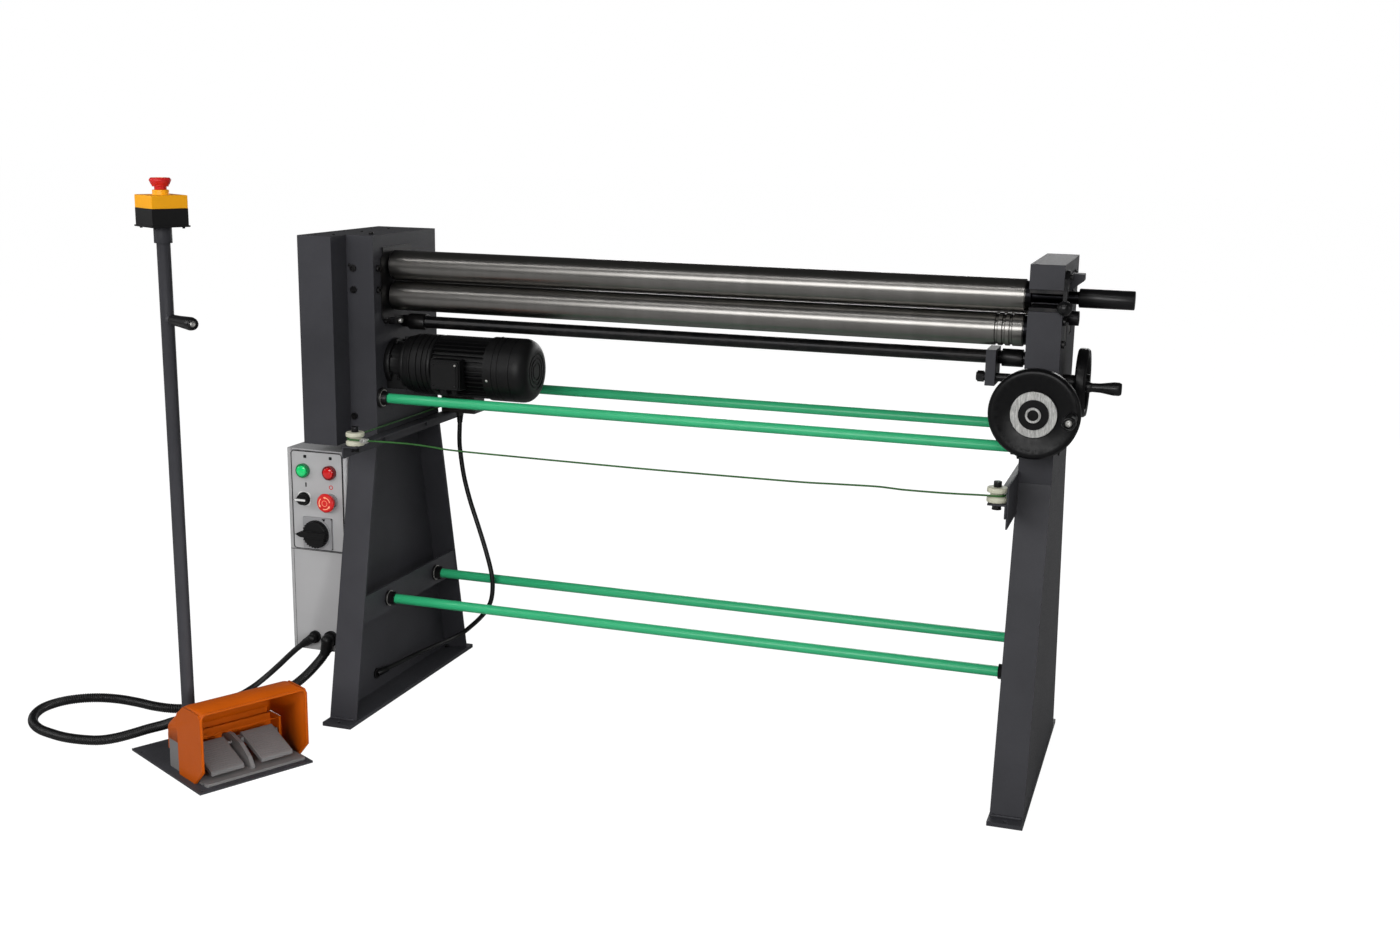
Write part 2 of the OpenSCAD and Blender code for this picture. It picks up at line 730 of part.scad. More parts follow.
// Strain relief where the switch cable goes through the left stand's web
module web_gland() {
  tail = lead_path[len(lead_path) - 1];
  dir = unit(lead_path[len(lead_path) - 2] - tail);
  rise = acos(dir[2]);
  turn = atan2(dir[1], dir[0]);
  depth = 9;
  color("#1a1a1b") difference() {
    union() {
      translate(tail - depth * dir) rotate([0, rise, turn]) cylinder(r = lead_r + 2.5, h = 26);
      rod_x(-face_out + sheet, -face_out + sheet + 3, lead_r + 7, tail[1] - 8, tail[2] - 1);
    }
    translate(tail) rotate([0, rise, turn]) cylinder(r = lead_r + 0.4, h = 27);
    translate([sheet - face_out - 20, tail[1] - 30, tail[2] - 30]) cube([20, 60, 60]);
  }
}

// Elbow gland on the front of the box, its outlet along dir
module gland(x, dir, r) {
  body_r = r + 4;
  out = body_r + 9;
  rise = acos(dir[2]);
  turn = atan2(dir[1], dir[0]);
  color("#1a1a1b") {
    rod_y(box_front - 6, box_front, body_r + 3, x, gland_z);
    difference() {
      union() {
        rod_y(gland_y, box_front, body_r - 1, x, gland_z);
        translate([x, gland_y, gland_z]) sphere(r = body_r);
        translate([x, gland_y, gland_z]) rotate([0, rise, turn]) cylinder(r = r + 3, h = out);
      }
      translate([x, gland_y, gland_z]) rotate([0, rise, turn]) {
        cylinder(r = r + 0.4, h = out + 1);
        sphere(r = r + 0.4);
      }
    }
  }
}

module cable_glands() {
  gland(hose_gland_x, unit(hose_path[1] - hose_path[0]), hose_r);
  gland(cable_gland_x, unit(cable_path[1] - cable_path[0]), cable_r);
  web_gland();
}

// Corrugated hose: a rib is one wide and one narrow ring, and a bore runs through it
module pedal_hose() {
  n = 8;
  route = smooth(hose_path, 10);
  t = tangents(route);
  s = sides(t, 0, start_side(t[0]));
  last = len(route) - 1;
  rib_end = 6;
  root_r = hose_r - 1.6;
  bore_r = hose_r - 3;
  r_at = [for (i = [0 : last])
    (i < rib_end || i > last - rib_end) ? hose_r : (i % 2 == 0 ? hose_r : root_r)];
  inner = [for (i = [0 : 5 : last]) i];
  m = len(inner) - 1;
  pts = [for (i = [0 : last]) each ring_points(route[i], t[i], s[i], r_at[i], n),
    for (i = inner) each ring_points(route[i], t[i], s[i], bore_r, n)];
  b = (last + 1) * n;
  skin = [for (i = [0 : last - 1]) for (k = [0 : n - 1]) each [
    [i * n + k, i * n + (k + 1) % n, (i + 1) * n + (k + 1) % n],
    [i * n + k, (i + 1) * n + (k + 1) % n, (i + 1) * n + k]]];
  bore = [for (i = [0 : m - 1]) for (k = [0 : n - 1]) each [
    [b + i * n + k, b + (i + 1) * n + (k + 1) % n, b + i * n + (k + 1) % n],
    [b + i * n + k, b + (i + 1) * n + k, b + (i + 1) * n + (k + 1) % n]]];
  ends = [for (k = [0 : n - 1]) each [
    [k, b + k, b + (k + 1) % n], [k, b + (k + 1) % n, (k + 1) % n],
    [last * n + k, b + m * n + (k + 1) % n, b + m * n + k],
    [last * n + k, last * n + (k + 1) % n, b + m * n + (k + 1) % n]]];
  color(black) polyhedron(pts, [for (f = concat(skin, bore, ends)) [f[0], f[2], f[1]]]);
}

module post_cable() {
  color(black) tube(cable_path, [for (p = cable_path) cable_r], 10);
}

// Pedal unit
module pedal_plate() {
  color("#38383a") pedal_frame() difference() {
    translate([-plate_w / 2, -plate_d / 2, 0]) cube([plate_w, plate_d, plate_t]);
    for (x = [-1, 1], y = [8 - plate_d / 2, plate_d / 2 - 30])
      translate([x * (plate_w / 2 - 8), y, -1])
        cylinder(r = 3.5, h = plate_t + 2);
  }
}

// Moulded lower body with the hinge lugs, the centre wall and the step
module pedal_base() {
  w = guard_w - 2 * guard_wall - 2 * slide_fit;
  x0 = guard_mid - w / 2;
  step_front = -112;
  step_h = 4;
  wall_t = 8;
  back_h = 40;
  back_t = 11;
  back_y = guard_rear - guard_wall - slide_fit;
  cheek_h = 58;
  cheek_t = 4;
  cheek_y = -30;
  lug_t = 5;
  lug_x = [for (p = [0, 1]) each [pedal_x(p) - slide_fit - lug_t, pedal_x(p) + pedal_w + slide_fit]];
  wall_back = back_y - 1;
  color("#5a5656") pedal_frame() {
    translate([x0 + 2, step_front, plate_t]) cube([w - 4, guard_rear - 3 - step_front, step_h]);
    translate([x0, back_y - back_t, plate_t]) cube([w, back_t, back_h]);
    for (x = [x0, x0 + w - cheek_t])
      translate([x, cheek_y, plate_t]) cube([cheek_t, back_y - cheek_y, cheek_h]);
    translate([guard_mid - wall_t / 2, 0, 0]) rotate([90, 0, 90]) linear_extrude(wall_t)
      polygon([[step_front, plate_t], [wall_back, plate_t], [wall_back, back_h],
        [pin_y + 14, 56], [pin_y, 56], [-70, 48], [-100, 30], [step_front, 14]]);
    for (x = lug_x) translate([x, pin_y - 9, plate_t]) cube([lug_t, 18, pin_z + 3]);
    rod_x(lug_x[0], lug_x[3] + lug_t, pin_r, pin_y, pin_z);
  }
}

// Left edge of a pedal, 0 for the left one and 1 for the right one
function pedal_x(p) = guard_mid + (p == 1 ? pedal_gap / 2 : -pedal_gap / 2 - pedal_w);

// Where the hose ends, in the pedal unit's own frame
function pedal_local(p) = let (d = p - pedal_at)
  [d[0] * cos(pedal_turn) + d[1] * sin(pedal_turn),
   d[1] * cos(pedal_turn) - d[0] * sin(pedal_turn), d[2]];
function hose_in_x() = pedal_local(hose_path[len(hose_path) - 1])[0];
function hose_end_z() = hose_path[len(hose_path) - 1][2];

// Guard: a hood open at the front, bevelled at its back and lower corners
module pedal_guard() {
  x0 = guard_mid - guard_w / 2;
  top = plate_t + guard_h;
  w = guard_wall;
  color("#c25a12") pedal_frame() difference() {
    union() {
      translate([x0, 0, 0]) rotate([90, 0, 90]) linear_extrude(guard_w)
        polygon([[guard_front, plate_t + 30], [guard_front, top], [-58, top],
          [guard_rear, plate_t + 86], [guard_rear, plate_t + 60], [-30, plate_t + 60],
          [-30, plate_t], [-96, plate_t]]);
      for (x = [x0 - 2, x0 + guard_w - 1])
        translate([x, 0, 0]) rotate([90, 0, 90]) linear_extrude(3)
          polygon([[guard_front, plate_t + 30], [guard_front, top - 4], [-62, top - 4],
            [-30, top - 34], [-30, plate_t], [-96, plate_t]]);
    }
    translate([x0 + w, 0, 0]) rotate([90, 0, 90]) linear_extrude(guard_w - 2 * w)
      polygon([[guard_front - 1, 0], [guard_front - 1, top - w], [-58 - w / 2, top - w],
        [guard_rear - w, plate_t + 84], [guard_rear - w, 0]]);
    translate([hose_in_x(), guard_rear + 1, hose_end_z()]) rotate([90, 0, 0])
      cylinder(r = hose_r, h = w + 2);
  }
  color("#c25a12") pedal_frame()
    span([x0 + w - eps, guard_rear - w, plate_t + 36], [x0 + guard_w - w + eps, guard_rear, plate_t + 61]);
}

module control_post() {
  foot_r = 26;
  collar_r = 16.5;
  color("#38383c") pedal_frame() translate([post_x, post_y, 0]) {
    difference() {
      union() {
        translate([0, 0, plate_t]) cylinder(r = foot_r, h = 5);
        translate([0, 0, plate_t]) cylinder(r = post_r, h = post_top - plate_t);
      }
      // Entry of the cable
      translate([0, post_r + 1, 44]) rotate([90, 0, 0]) cylinder(r = cable_r, h = post_r);
    }
    difference() {
      translate([0, 0, post_top - 4]) cylinder(r = collar_r, h = 30);
      translate([0, 0, post_top - 5]) cylinder(r = post_r, h = 5);
    }
    // Boss of the side handle
    rod_y(-post_r - 8, 0, 9, 0, handle_z);
    rod_y(-post_r - handle_len - 4, -post_r - 8, 4, 0, handle_z);
    rod_y(-post_r - handle_len - 4, -post_r - handle_len - 1, 7, 0, handle_z);
  }
}

module post_box() {
  h = 34;
  z0 = post_top + 26;
  color("#151516") pedal_frame() translate([post_x, post_y, z0]) {
    difference() {
      translate([-post_box_w / 2, -post_box_w / 2, 0]) cube([post_box_w, post_box_w, h]);
      translate([3 - post_box_w / 2, 3 - post_box_w / 2, 3])
        cube([post_box_w - 6, post_box_w - 6, h]);
    }
    for (x = [-1, 1], y = [-1, 1])
      translate([x * (post_box_w / 2 - 7), y * (post_box_w / 2 - 7), -3]) cylinder(r = 2.5, h = 3);
    span([-post_box_w / 2 - 2, -post_box_w / 2 - 2, 0], [post_box_w / 2 + 2, post_box_w / 2 + 2, 3]);
  }
}

module post_lid() {
  h = 24;
  z0 = post_top + 60;
  color("#f0a21c") pedal_frame() translate([post_x, post_y, z0]) difference() {
    translate([-post_box_w / 2, -post_box_w / 2, 0]) cube([post_box_w, post_box_w, h]);
    translate([3 - post_box_w / 2, 3 - post_box_w / 2, -1])
      cube([post_box_w - 6, post_box_w - 6, h - 4]);
    cylinder(r = 11 + run_fit, h = h + 1);
  }
  color("#1b1b1c") pedal_frame() translate([post_x, post_y, z0 + h]) difference() {
    cylinder(r = 15, h = 9);
    translate([0, 0, -1]) cylinder(r = 11 + run_fit, h = 11);
  }
}

// Bracket that hangs from the cross shaft and steadies the rod
module shaft_bracket() {
  color("#454548") difference() {
    span([bracket_x, rod_y - 20, rod_z - 14], [bracket_x + bracket_t, shaft_y + 26, shaft_z + shaft_r + 5]);
    rod_x(bracket_x - 1, bracket_x + bracket_t + 1, shaft_r + run_fit, shaft_y, shaft_z);
    rod_x(bracket_x - 1, bracket_x + bracket_t + 1, rod_r + run_fit, rod_y, rod_z);
  }
}

// Rolls
module top_roll_bush() {
  color("#6a6865") translate([-head_mid, roll_y, top_z - bush_h / 2]) difference() {
    cylinder(r = bush_r, h = bush_h);
    rod_x(-bush_r - 1, bush_r + 1, journal_r + run_fit, 0, bush_h / 2);
  }
}

module top_roll() {
  tongue_w = 9.6;
  x0 = -half_gap + roll_end_gap;
  x1 = half_gap - roll_end_gap - 8;
  color(steel) difference() {
    union() {
      rod_x(x0, x1, roll_r, roll_y, top_z);
      rod_x(-head_mid - 6, x0, journal_r, roll_y, top_z);
      rod_x(x1, face_out + 20 + 60, free_journal_r, roll_y, top_z);
    }
    span([-head_mid - 7, roll_y - tongue_w / 2, top_z - 20],
      [-head_mid + 5, roll_y + tongue_w / 2, top_z + 20]);
  }
}

module top_roll_grip() {
  grip_l = 96;
  gx = face_out + 20;
  color(black) difference() {
    rod_x(gx, gx + grip_l, 17, roll_y, top_z);
    rod_x(gx - 1, gx + 60, free_journal_r, roll_y, top_z);
  }
}

// Two gears on one stub whose tongue drives the top roll
module top_gear() {
  color("#77756f") {
    gear_x(-layer_a - gear_w, gear_w, roll_gear_n, roll_gear_m, roll_y, top_z, 270);
    gear_x(-layer_b - gear_w, gear_w, top_n, gear_m, roll_y, top_z, mesh_top());
    rod_x(-layer_b - 1, -head_mid - 13, 11, roll_y, top_z);
    intersection() {
      rod_x(-head_mid - 14, -head_mid + 3, 11, roll_y, top_z);
      span([-head_mid - 14, roll_y - 4, top_z - 12], [-head_mid + 3, roll_y + 4, top_z + 12]);
    }
  }
}

// Angle from the motor pinion's axis to the idler's, and from there to the top gear's
function angle_ab() = atan2(idler_dz, idler_dy);
function angle_bc() = atan2(drive_c - idler_dz, -idler_dy);
// The pinion's tooth lies towards the idler, which has a gap there
function mesh_idler() = angle_ab() + 180 + 180 / idler_n;
// How far the line to the top gear lies past an idler tooth, as a share of one tooth
function idler_share() = ((angle_bc() - mesh_idler()) / (360 / idler_n)) % 1;
function mesh_top() = angle_bc() + 180 + (0.5 + idler_share()) * 360 / top_n;

module lower_roll() {
  x0 = -half_gap + roll_end_gap;
  x1 = half_gap - roll_end_gap - 8;
  groove_d = 2.5;
  color(steel) difference() {
    union() {
      rod_x(x0, x1, roll_r, roll_y, low_z);
      rod_x(-face_out - 1, x0, journal_r, roll_y, low_z);
      rod_x(-layer_a - gear_w, -face_out, 12, roll_y, low_z);
      rod_x(x1, face_out - 1, journal_r, roll_y, low_z);
    }
    for (i = [0 : 2]) {
      gx = x1 - 50 + i * 13;
      difference() {
        rod_x(gx, gx + groove_w, roll_r + 1, roll_y, low_z);
        rod_x(gx - 1, gx + groove_w + 1, roll_r - groove_d, roll_y, low_z);
      }
    }
  }
}

module lower_gear() {
  color("#77756f") difference() {
    gear_x(-layer_a - gear_w, gear_w, roll_gear_n, roll_gear_m, roll_y, low_z,
      90 + 180 / roll_gear_n);
    rod_x(-layer_a - gear_w - 1, -layer_a + 1, 12, roll_y, low_z);
  }
}

module blocks(y, z) {
  color("#5c5a57") for (s = [-1, 1]) difference() {
    translate([s * head_mid, y, z]) cube([head_t - 2, block_w, block_h], center = true);
    rod_x(s * head_mid - head_t, s * head_mid + head_t, journal_r + run_fit, y, z);
  }
}

module lower_roll_blocks() {
  blocks(roll_y, low_z);
}

module rear_roll() {
  color(steel) {
    rod_x(-half_gap + roll_end_gap, half_gap - roll_end_gap - 8, roll_r, rear_y, rear_z);
    rod_x(-face_out + 1, face_out - 1, journal_r, rear_y, rear_z);
  }
}

module rear_roll_blocks() {
  blocks(rear_y, rear_z);
}

module idler_gear() {
  color("#77756f") difference() {
    gear_x(-layer_b - gear_w, gear_w, idler_n, gear_m, idler_y, idler_z, mesh_idler());
    rod_x(-layer_b - gear_w - 1, -layer_b + 1, 10 + run_fit, idler_y, idler_z);
  }
}

module motor_pinion() {
  color("#77756f") {
    gear_x(-layer_b - gear_w, gear_w, pinion_n, gear_m, roll_y, motor_z, angle_ab());
    rod_x(-layer_b - 1, -half_gap + 29, 12, roll_y, motor_z);
  }
}

// Front hand wheel: solid disc with a thick rim, on a spindle along Y
module front_wheel() {
  r = front_wheel_d / 2;
  t = wheel_t;
  y0 = wheel_y - t;
  color(black) translate([wheel_x, 0, front_wheel_z]) {
    translate([0, wheel_y, 0]) rotate([90, 0, 0]) rotate_extrude() polygon([[0, 0], [28, 0],
      [28, 4], [r - 20, 8], [r - 10, 2], [r - 3, 2], [r, 6], [r, t - 8], [r - 4, t - 2],
      [r - 10, t - 1], [r - 20, t - 5], [dial_r + 1, t - 6], [dial_r + 1, t - 9], [0, t - 9]]);
    rod_y(y0 - 2, y0 + 10, hub_r, 0, 0);
    rod_y(wheel_y - 1, -head_front - 14, 22, 0, 0);
    rod_y(wheel_y - 1, -head_front + 38, 9, 0, 0);
    translate([grip_orbit, y0, 0]) grip_bolt();
  }
}

// Graduated ring and bright hub ring of the front hand wheel
module dial_ring() {
  y0 = wheel_y - wheel_t;
  color("#bdbdba") translate([wheel_x, 0, front_wheel_z]) {
    difference() {
      rod_y(y0 + 2, y0 + 9, dial_r, 0, 0);
      rod_y(y0 + 1, y0 + 10, hub_r, 0, 0);
    }
    difference() {
      rod_y(y0 - 5, y0 - 2, 13.5, 0, 0);
      rod_y(y0 - 6, y0 - 1, 9.5, 0, 0);
    }
  }
}

// Bolt on which a grip turns, along -Y from the face that it stands on
module grip_bolt() {
  rod_y(-grip_len + 8, 8, grip_bolt_r, 0, 0);
  rod_y(-grip_len + 4, -grip_len + 8, 7, 0, 0);
}

// Tapered grip that turns on its bolt, along -Y from y = 0
module grip() {
  rotate([90, 0, 0]) difference() {
    rotate_extrude() polygon([[0, 0.5], [9, 0.5], [10, 4], [8, 12], [8.5, 26],
      [12, grip_len - 14], [12, grip_len - 4], [10, grip_len], [0, grip_len]]);
    translate([0, 0, -1]) cylinder(r = grip_bolt_r + run_fit, h = grip_len);
    translate([0, 0, grip_len - 8.5]) cylinder(r = 8, h = 10);
  }
}

module front_wheel_grip() {
  color(black) translate([wheel_x + grip_orbit, wheel_y - wheel_t, front_wheel_z]) grip();
}

// Side hand wheel: a rim on a thin dished disc, turned about X
module side_wheel() {
  r = side_wheel_d / 2;
  color(black) translate([side_x, rod_y, rod_z]) {
    rotate([0, 90, 0]) difference() {
      rotate_extrude() polygon([[0, 0], [16, 0], [17, 8], [r - 14, 6], [r - 11, 2], [r - 3, 1],
        [r, 4], [r, side_t - 5], [r - 3, side_t - 1], [r - 11, side_t - 3], [r - 14, 12],
        [17, 15], [15, side_t + 2], [0, side_t + 2]]);
      translate([0, 0, -1]) cylinder(r = rod_r, h = side_t + 4);
    }
    translate([side_t - 1, 0, 0]) rotate(90) translate([-side_orbit, 0, 0]) grip_bolt();
  }
}

module side_wheel_grip() {
  color(black) translate([side_x + side_t - 1, rod_y, rod_z]) rotate(90)
    translate([-side_orbit, 0, 0]) grip();
}

// Rod of the side hand wheel, with its gear and end nut
module side_spindle() {
  nut_x = bracket_x - 16;
  nut_w = 12;
  color("#26262a") {
    rod_x(nut_x - 2, side_x + side_t, rod_r, rod_y, rod_z);
    translate([nut_x, rod_y, rod_z]) rotate([0, 90, 0]) cylinder(r = 10.5, h = nut_w, $fn = 6);
    rod_x(face_out + slide_fit, side_x, 13, rod_y, rod_z);
    gear_x(pair_x, pair_w, pair_n, pair_m, rod_y, rod_z, pair_a() + 180 + 180 / pair_n);
  }
}

// Angle from the cross shaft to the rod
function pair_a() = atan2(rod_z - shaft_z, rod_y - shaft_y);

// Shaft that joins both ends of the rear roll's lift, thicker at its worms
module cross_shaft() {
  worm_r = 16.5;
  worm_l = 38;
  seat = 19;
  color("#1d1d1f") {
    rod_x(-half_gap - seat, half_gap + seat, shaft_r, shaft_y, shaft_z);
    for (x = [-half_gap + 17, pair_x - worm_l - 6]) rod_x(x, x + worm_l, worm_r, shaft_y, shaft_z);
    gear_x(pair_x, pair_w, pair_n, pair_m, shaft_y, shaft_z, pair_a());
  }
}

// Locking lever with a ball knob, in front of the top roll's slot
module latch_lever() {
  x0 = face_out + 1;
  t = 7;
  color(black) {
    rod_x(face_out - 11, x0 + t + 4, 5 - run_fit, -118, 966);
    translate([x0, 0, 0]) rotate([90, 0, 90]) linear_extrude(t) {
      translate([-118, 966]) circle(r = 11);
      polygon([[-118, 977], [-107, 966], [-118, 955], [-140, 936], [-150, 922], [-160, 926],
        [-152, 944], [-140, 964]]);
    }
    translate([x0 + t / 2, -155, 915]) sphere(r = 13);
  }
}

// Grooved pulley on its upright bolt
module pulley(s) {
  z0 = beam_top + slide_fit;
  r = pulley_r;
  g = groove_r;
  color("#d9d8c4") translate([s * pulley_x, pulley_y, z0]) difference() {
    rotate_extrude() polygon([[0, 0], [r - 1, 0], [r, 1], [r, 8], [g, 10.8], [g, 15.2], [r, 18],
      [r, pulley_h - 1], [r - 1, pulley_h], [0, pulley_h]]);
    translate([0, 0, -1]) cylinder(r = 4 + run_fit, h = pulley_h + 2);
  }
}

module left_pulley() {
  pulley(-1);
}

module right_pulley() {
  pulley(1);
}

// Push button: lens in front, contact block behind the panel
module push_button(x, shade) {
  color(shade) {
    rod_y(box_front - 10, box_front + 10, button_r, panel_mid + x, row_a);
    rod_y(box_front + 10, box_front + 40, button_r - 3, panel_mid + x, row_a);
  }
}

module start_button() {
  push_button(-col, "#12cf74");
}

module stop_button() {
  push_button(col, "#c81414");
}

// Emergency stop head, along +Z, its underside at z = 0
module stop_head() {
  cylinder(r = 15, h = 3);
  translate([0, 0, 3]) cylinder(r1 = 16, r2 = stop_r, h = 9);
  translate([0, 0, 12]) cylinder(r1 = stop_r, r2 = stop_r - 3, h = 4);
}

module panel_stop() {
  color("#d8201c") translate([panel_mid + col, box_front - 9, row_b]) rotate([90, 0, 0]) {
    stop_head();
    translate([0, 0, -34]) cylinder(r = 11, h = 34);
  }
}

// Turning knob with a raised bar, along -Y from y = 0
module turn_knob(r, tip, back, bar_w, depth, shaft) {
  rotate([90, 0, 0]) {
    cylinder(r1 = r, r2 = 0.94 * r, h = depth);
    linear_extrude(depth + bar_w / 2) polygon([[-tip, 0], [bar_w - tip, bar_w / 2],
      [back, bar_w / 2], [back, -bar_w / 2], [bar_w - tip, -bar_w / 2]]);
    translate([0, 0, -34]) cylinder(r = shaft, h = 34);
  }
}

module selector_knob() {
  color("#202022") translate([panel_mid - col, box_front - 5.3, row_b])
    turn_knob(12, 17, 11, 7, 8, 6);
}

module main_switch_knob() {
  color("#161617") translate([panel_mid, box_front - 8.3, row_c])
    turn_knob(28.5, 42, 26, 12, 11, 7);
}

module post_stop() {
  color("#c92a2a") pedal_frame() translate([post_x, post_y, post_top + 99]) {
    stop_head();
    translate([0, 0, -34]) cylinder(r = 11, h = 34);
  }
}

// One pedal plate with its hinge barrel, right = 0 or 1
module pedal(right) {
  x0 = pedal_x(right);
  color("#605c5c") pedal_frame() difference() {
    union() {
      translate([x0, 0, 0]) rotate([90, 0, 90]) linear_extrude(pedal_w)
        polygon([[-112, 16], [-112, 23], [-109, 25], [-33, 54], [-28, 52], [-28, 46],
          [pin_y, 40]]);
      rod_x(x0, x0 + pedal_w, 7, pin_y, pin_z);
    }
    rod_x(x0 - 1, x0 + pedal_w + 1, pin_r + run_fit, pin_y, pin_z);
  }
}

module left_pedal() {
  pedal(0);
}

module right_pedal() {
  pedal(1);
}

// Revolving handle on the post
module post_handle() {
  y0 = -post_r - 8.5;
  len = handle_len;
  color(black) pedal_frame() translate([post_x, post_y + y0, handle_z]) rotate([90, 0, 0])
    difference() {
      rotate_extrude() polygon([[0, 0], [9, 0], [10, 4], [10.5, 30], [12.5, len - 12],
        [11, len - 3], [8, len], [0, len]]);
      translate([0, 0, -1]) cylinder(r = 4 + run_fit, h = len + 2);
      translate([0, 0, len - 8]) cylinder(r = 8, h = 10);
    }
}

left_stand();
right_stand();
left_head();
right_head();
lower_tie_bars();
upper_tie_bars();
tie_bar_nuts();
frame_bolts();
gear_cover();
gearbox();
motor_body();
fan_cover();
terminal_box();
rope_beams();
safety_rope();
rope_switch();
switch_cable();
control_box();
control_panel();
panel_fittings();
cable_glands();
pedal_plate();
pedal_base();
pedal_guard();
control_post();
post_box();
post_lid();
pedal_hose();
post_cable();
shaft_bracket();
top_roll_bush();
top_roll();
top_roll_grip();
top_gear();
lower_roll();
lower_gear();
lower_roll_blocks();
rear_roll();
rear_roll_blocks();
idler_gear();
motor_pinion();
front_wheel();
dial_ring();
front_wheel_grip();
side_wheel();
side_spindle();
side_wheel_grip();
cross_shaft();
latch_lever();
left_pulley();
right_pulley();
start_button();
stop_button();
panel_stop();
selector_knob();
main_switch_knob();
post_stop();
left_pedal();
right_pedal();
post_handle();
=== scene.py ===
"""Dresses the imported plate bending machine: finishes, cords, moulded parts and studio."""
import math

import bmesh
import bpy
from mathutils import Matrix, Vector


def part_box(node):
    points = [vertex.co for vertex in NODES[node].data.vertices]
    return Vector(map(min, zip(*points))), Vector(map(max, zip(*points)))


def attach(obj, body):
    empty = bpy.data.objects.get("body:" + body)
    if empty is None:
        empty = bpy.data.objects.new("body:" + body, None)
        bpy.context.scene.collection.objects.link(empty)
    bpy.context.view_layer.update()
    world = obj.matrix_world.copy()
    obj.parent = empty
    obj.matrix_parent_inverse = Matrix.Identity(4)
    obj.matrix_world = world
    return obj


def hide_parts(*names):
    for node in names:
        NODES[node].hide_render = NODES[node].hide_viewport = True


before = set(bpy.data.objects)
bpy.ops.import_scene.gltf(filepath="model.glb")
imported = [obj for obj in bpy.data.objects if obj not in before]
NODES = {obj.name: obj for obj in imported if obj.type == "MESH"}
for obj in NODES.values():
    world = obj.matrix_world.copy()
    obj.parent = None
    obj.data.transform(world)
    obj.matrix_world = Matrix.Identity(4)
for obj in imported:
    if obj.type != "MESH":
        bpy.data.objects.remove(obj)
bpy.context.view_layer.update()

MM = 0.001


# Camera, at the place from which the photograph was taken

def place_camera():
    """Camera with the photograph's lens, standing to the right of the machine and looking left and down."""
    yaw, pitch, roll = 0.316, 0.2124, 0.0174
    ahead = Vector((-math.sin(yaw) * math.cos(pitch), math.cos(yaw) * math.cos(pitch), -math.sin(pitch)))
    level = Vector((math.cos(yaw), math.sin(yaw), 0))
    above = level.cross(ahead)
    right = level * math.cos(roll) + above * math.sin(roll)
    up = above * math.cos(roll) - level * math.sin(roll)
    cam = bpy.data.cameras.new("camera")
    cam.sensor_width = 36
    cam.lens = 40.67
    cam.clip_end = 60
    rig = bpy.data.objects.new("camera", cam)
    rig.matrix_world = Matrix.Translation((0.9632, -2.935, 1.2151)) @ Matrix(
        (right, up, -ahead)).transposed().to_4x4()
    bpy.context.collection.objects.link(rig)
    bpy.context.scene.camera = rig


place_camera()


# Drawing planes: (across, up, out) of a face, turned into the row frame

FRONT = Matrix(((1, 0, 0, 0), (0, 0, -1, 0), (0, 1, 0, 0), (0, 0, 0, 1)))
SIDE = Matrix(((0, 0, 1, 0), (1, 0, 0, 0), (0, 1, 0, 0), (0, 0, 0, 1)))
FLOOR = Matrix.Identity(4)
PEDALS = Matrix.Translation((-0.803, -0.486, 0)) @ Matrix.Rotation(math.radians(62), 4, "Z")
LEFT, RIGHT, TOWARDS, AWAY, UP, DOWN = [
    Vector(v) for v in ((-1, 0, 0), (1, 0, 0), (0, -1, 0), (0, 1, 0), (0, 0, 1), (0, 0, -1))]


# Mesh helpers: lengths are in millimetres

def new_piece(name, bm, body="root", smooth=40, normals=True):
    """Object from a bmesh, riding on a body, shaded smooth except at edges sharper than the angle."""
    if normals:
        bmesh.ops.recalc_face_normals(bm, faces=bm.faces)
    mesh = bpy.data.meshes.new(name)
    bm.to_mesh(mesh)
    bm.free()
    for face in mesh.polygons:
        face.use_smooth = True
    mesh.set_sharp_from_angle(angle=math.radians(smooth))
    piece = bpy.data.objects.new(name, mesh)
    bpy.context.collection.objects.link(piece)
    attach(piece, body)
    return piece


def smooth_route(points, steps):
    """Points of an even curve through the route's points, in metres."""
    route = [Vector(p) * MM for p in points]
    out = []
    for i in range(len(route) - 1):
        a, b, c, d = (route[max(i - 1, 0)], route[i], route[i + 1], route[min(i + 2, len(route) - 1)])
        for j in range(steps):
            u = j / steps
            out.append(0.5 * (2 * b + (c - a) * u + (2 * a - 5 * b + 4 * c - d) * u ** 2
                              + (3 * b - a - 3 * c + d) * u ** 3))
    out.append(route[-1])
    return out


def route_length(points):
    """Length of a line through points."""
    return sum((b - a).length for a, b in zip(points, points[1:]))


def sweep(bm, line, radii, sides):
    """Closed round tube along a line in metres, carried without twist, with a radius at each point."""
    tangents = [(line[min(i + 1, len(line) - 1)] - line[max(i - 1, 0)]).normalized()
                for i in range(len(line))]
    side = tangents[0].orthogonal().normalized()
    rings = []
    for point, tangent, radius in zip(line, tangents, radii):
        side = (side - tangent * side.dot(tangent)).normalized()
        across = tangent.cross(side)
        rings.append([bm.verts.new(point + radius * (math.cos(a) * side + math.sin(a) * across))
                      for a in (2 * math.pi * k / sides for k in range(sides))])
    for ring, after in zip(rings, rings[1:]):
        for k in range(sides):
            bm.faces.new((ring[k], ring[(k + 1) % sides], after[(k + 1) % sides], after[k]))
    bm.faces.new(rings[0])
    bm.faces.new(rings[-1])


def slab(bm, outline, low, high, plane=FLOOR):
    """Plate with an outline drawn on a plane, from low to high along the plane's third direction."""
    lower, upper = ([bm.verts.new(plane @ (Vector((u, v, w)) * MM)) for u, v in outline] for w in (low, high))
    bm.faces.new(lower)
    bm.faces.new(upper)
    for k in range(len(outline)):
        after = (k + 1) % len(outline)
        bm.faces.new((lower[k], lower[after], upper[after], upper[k]))


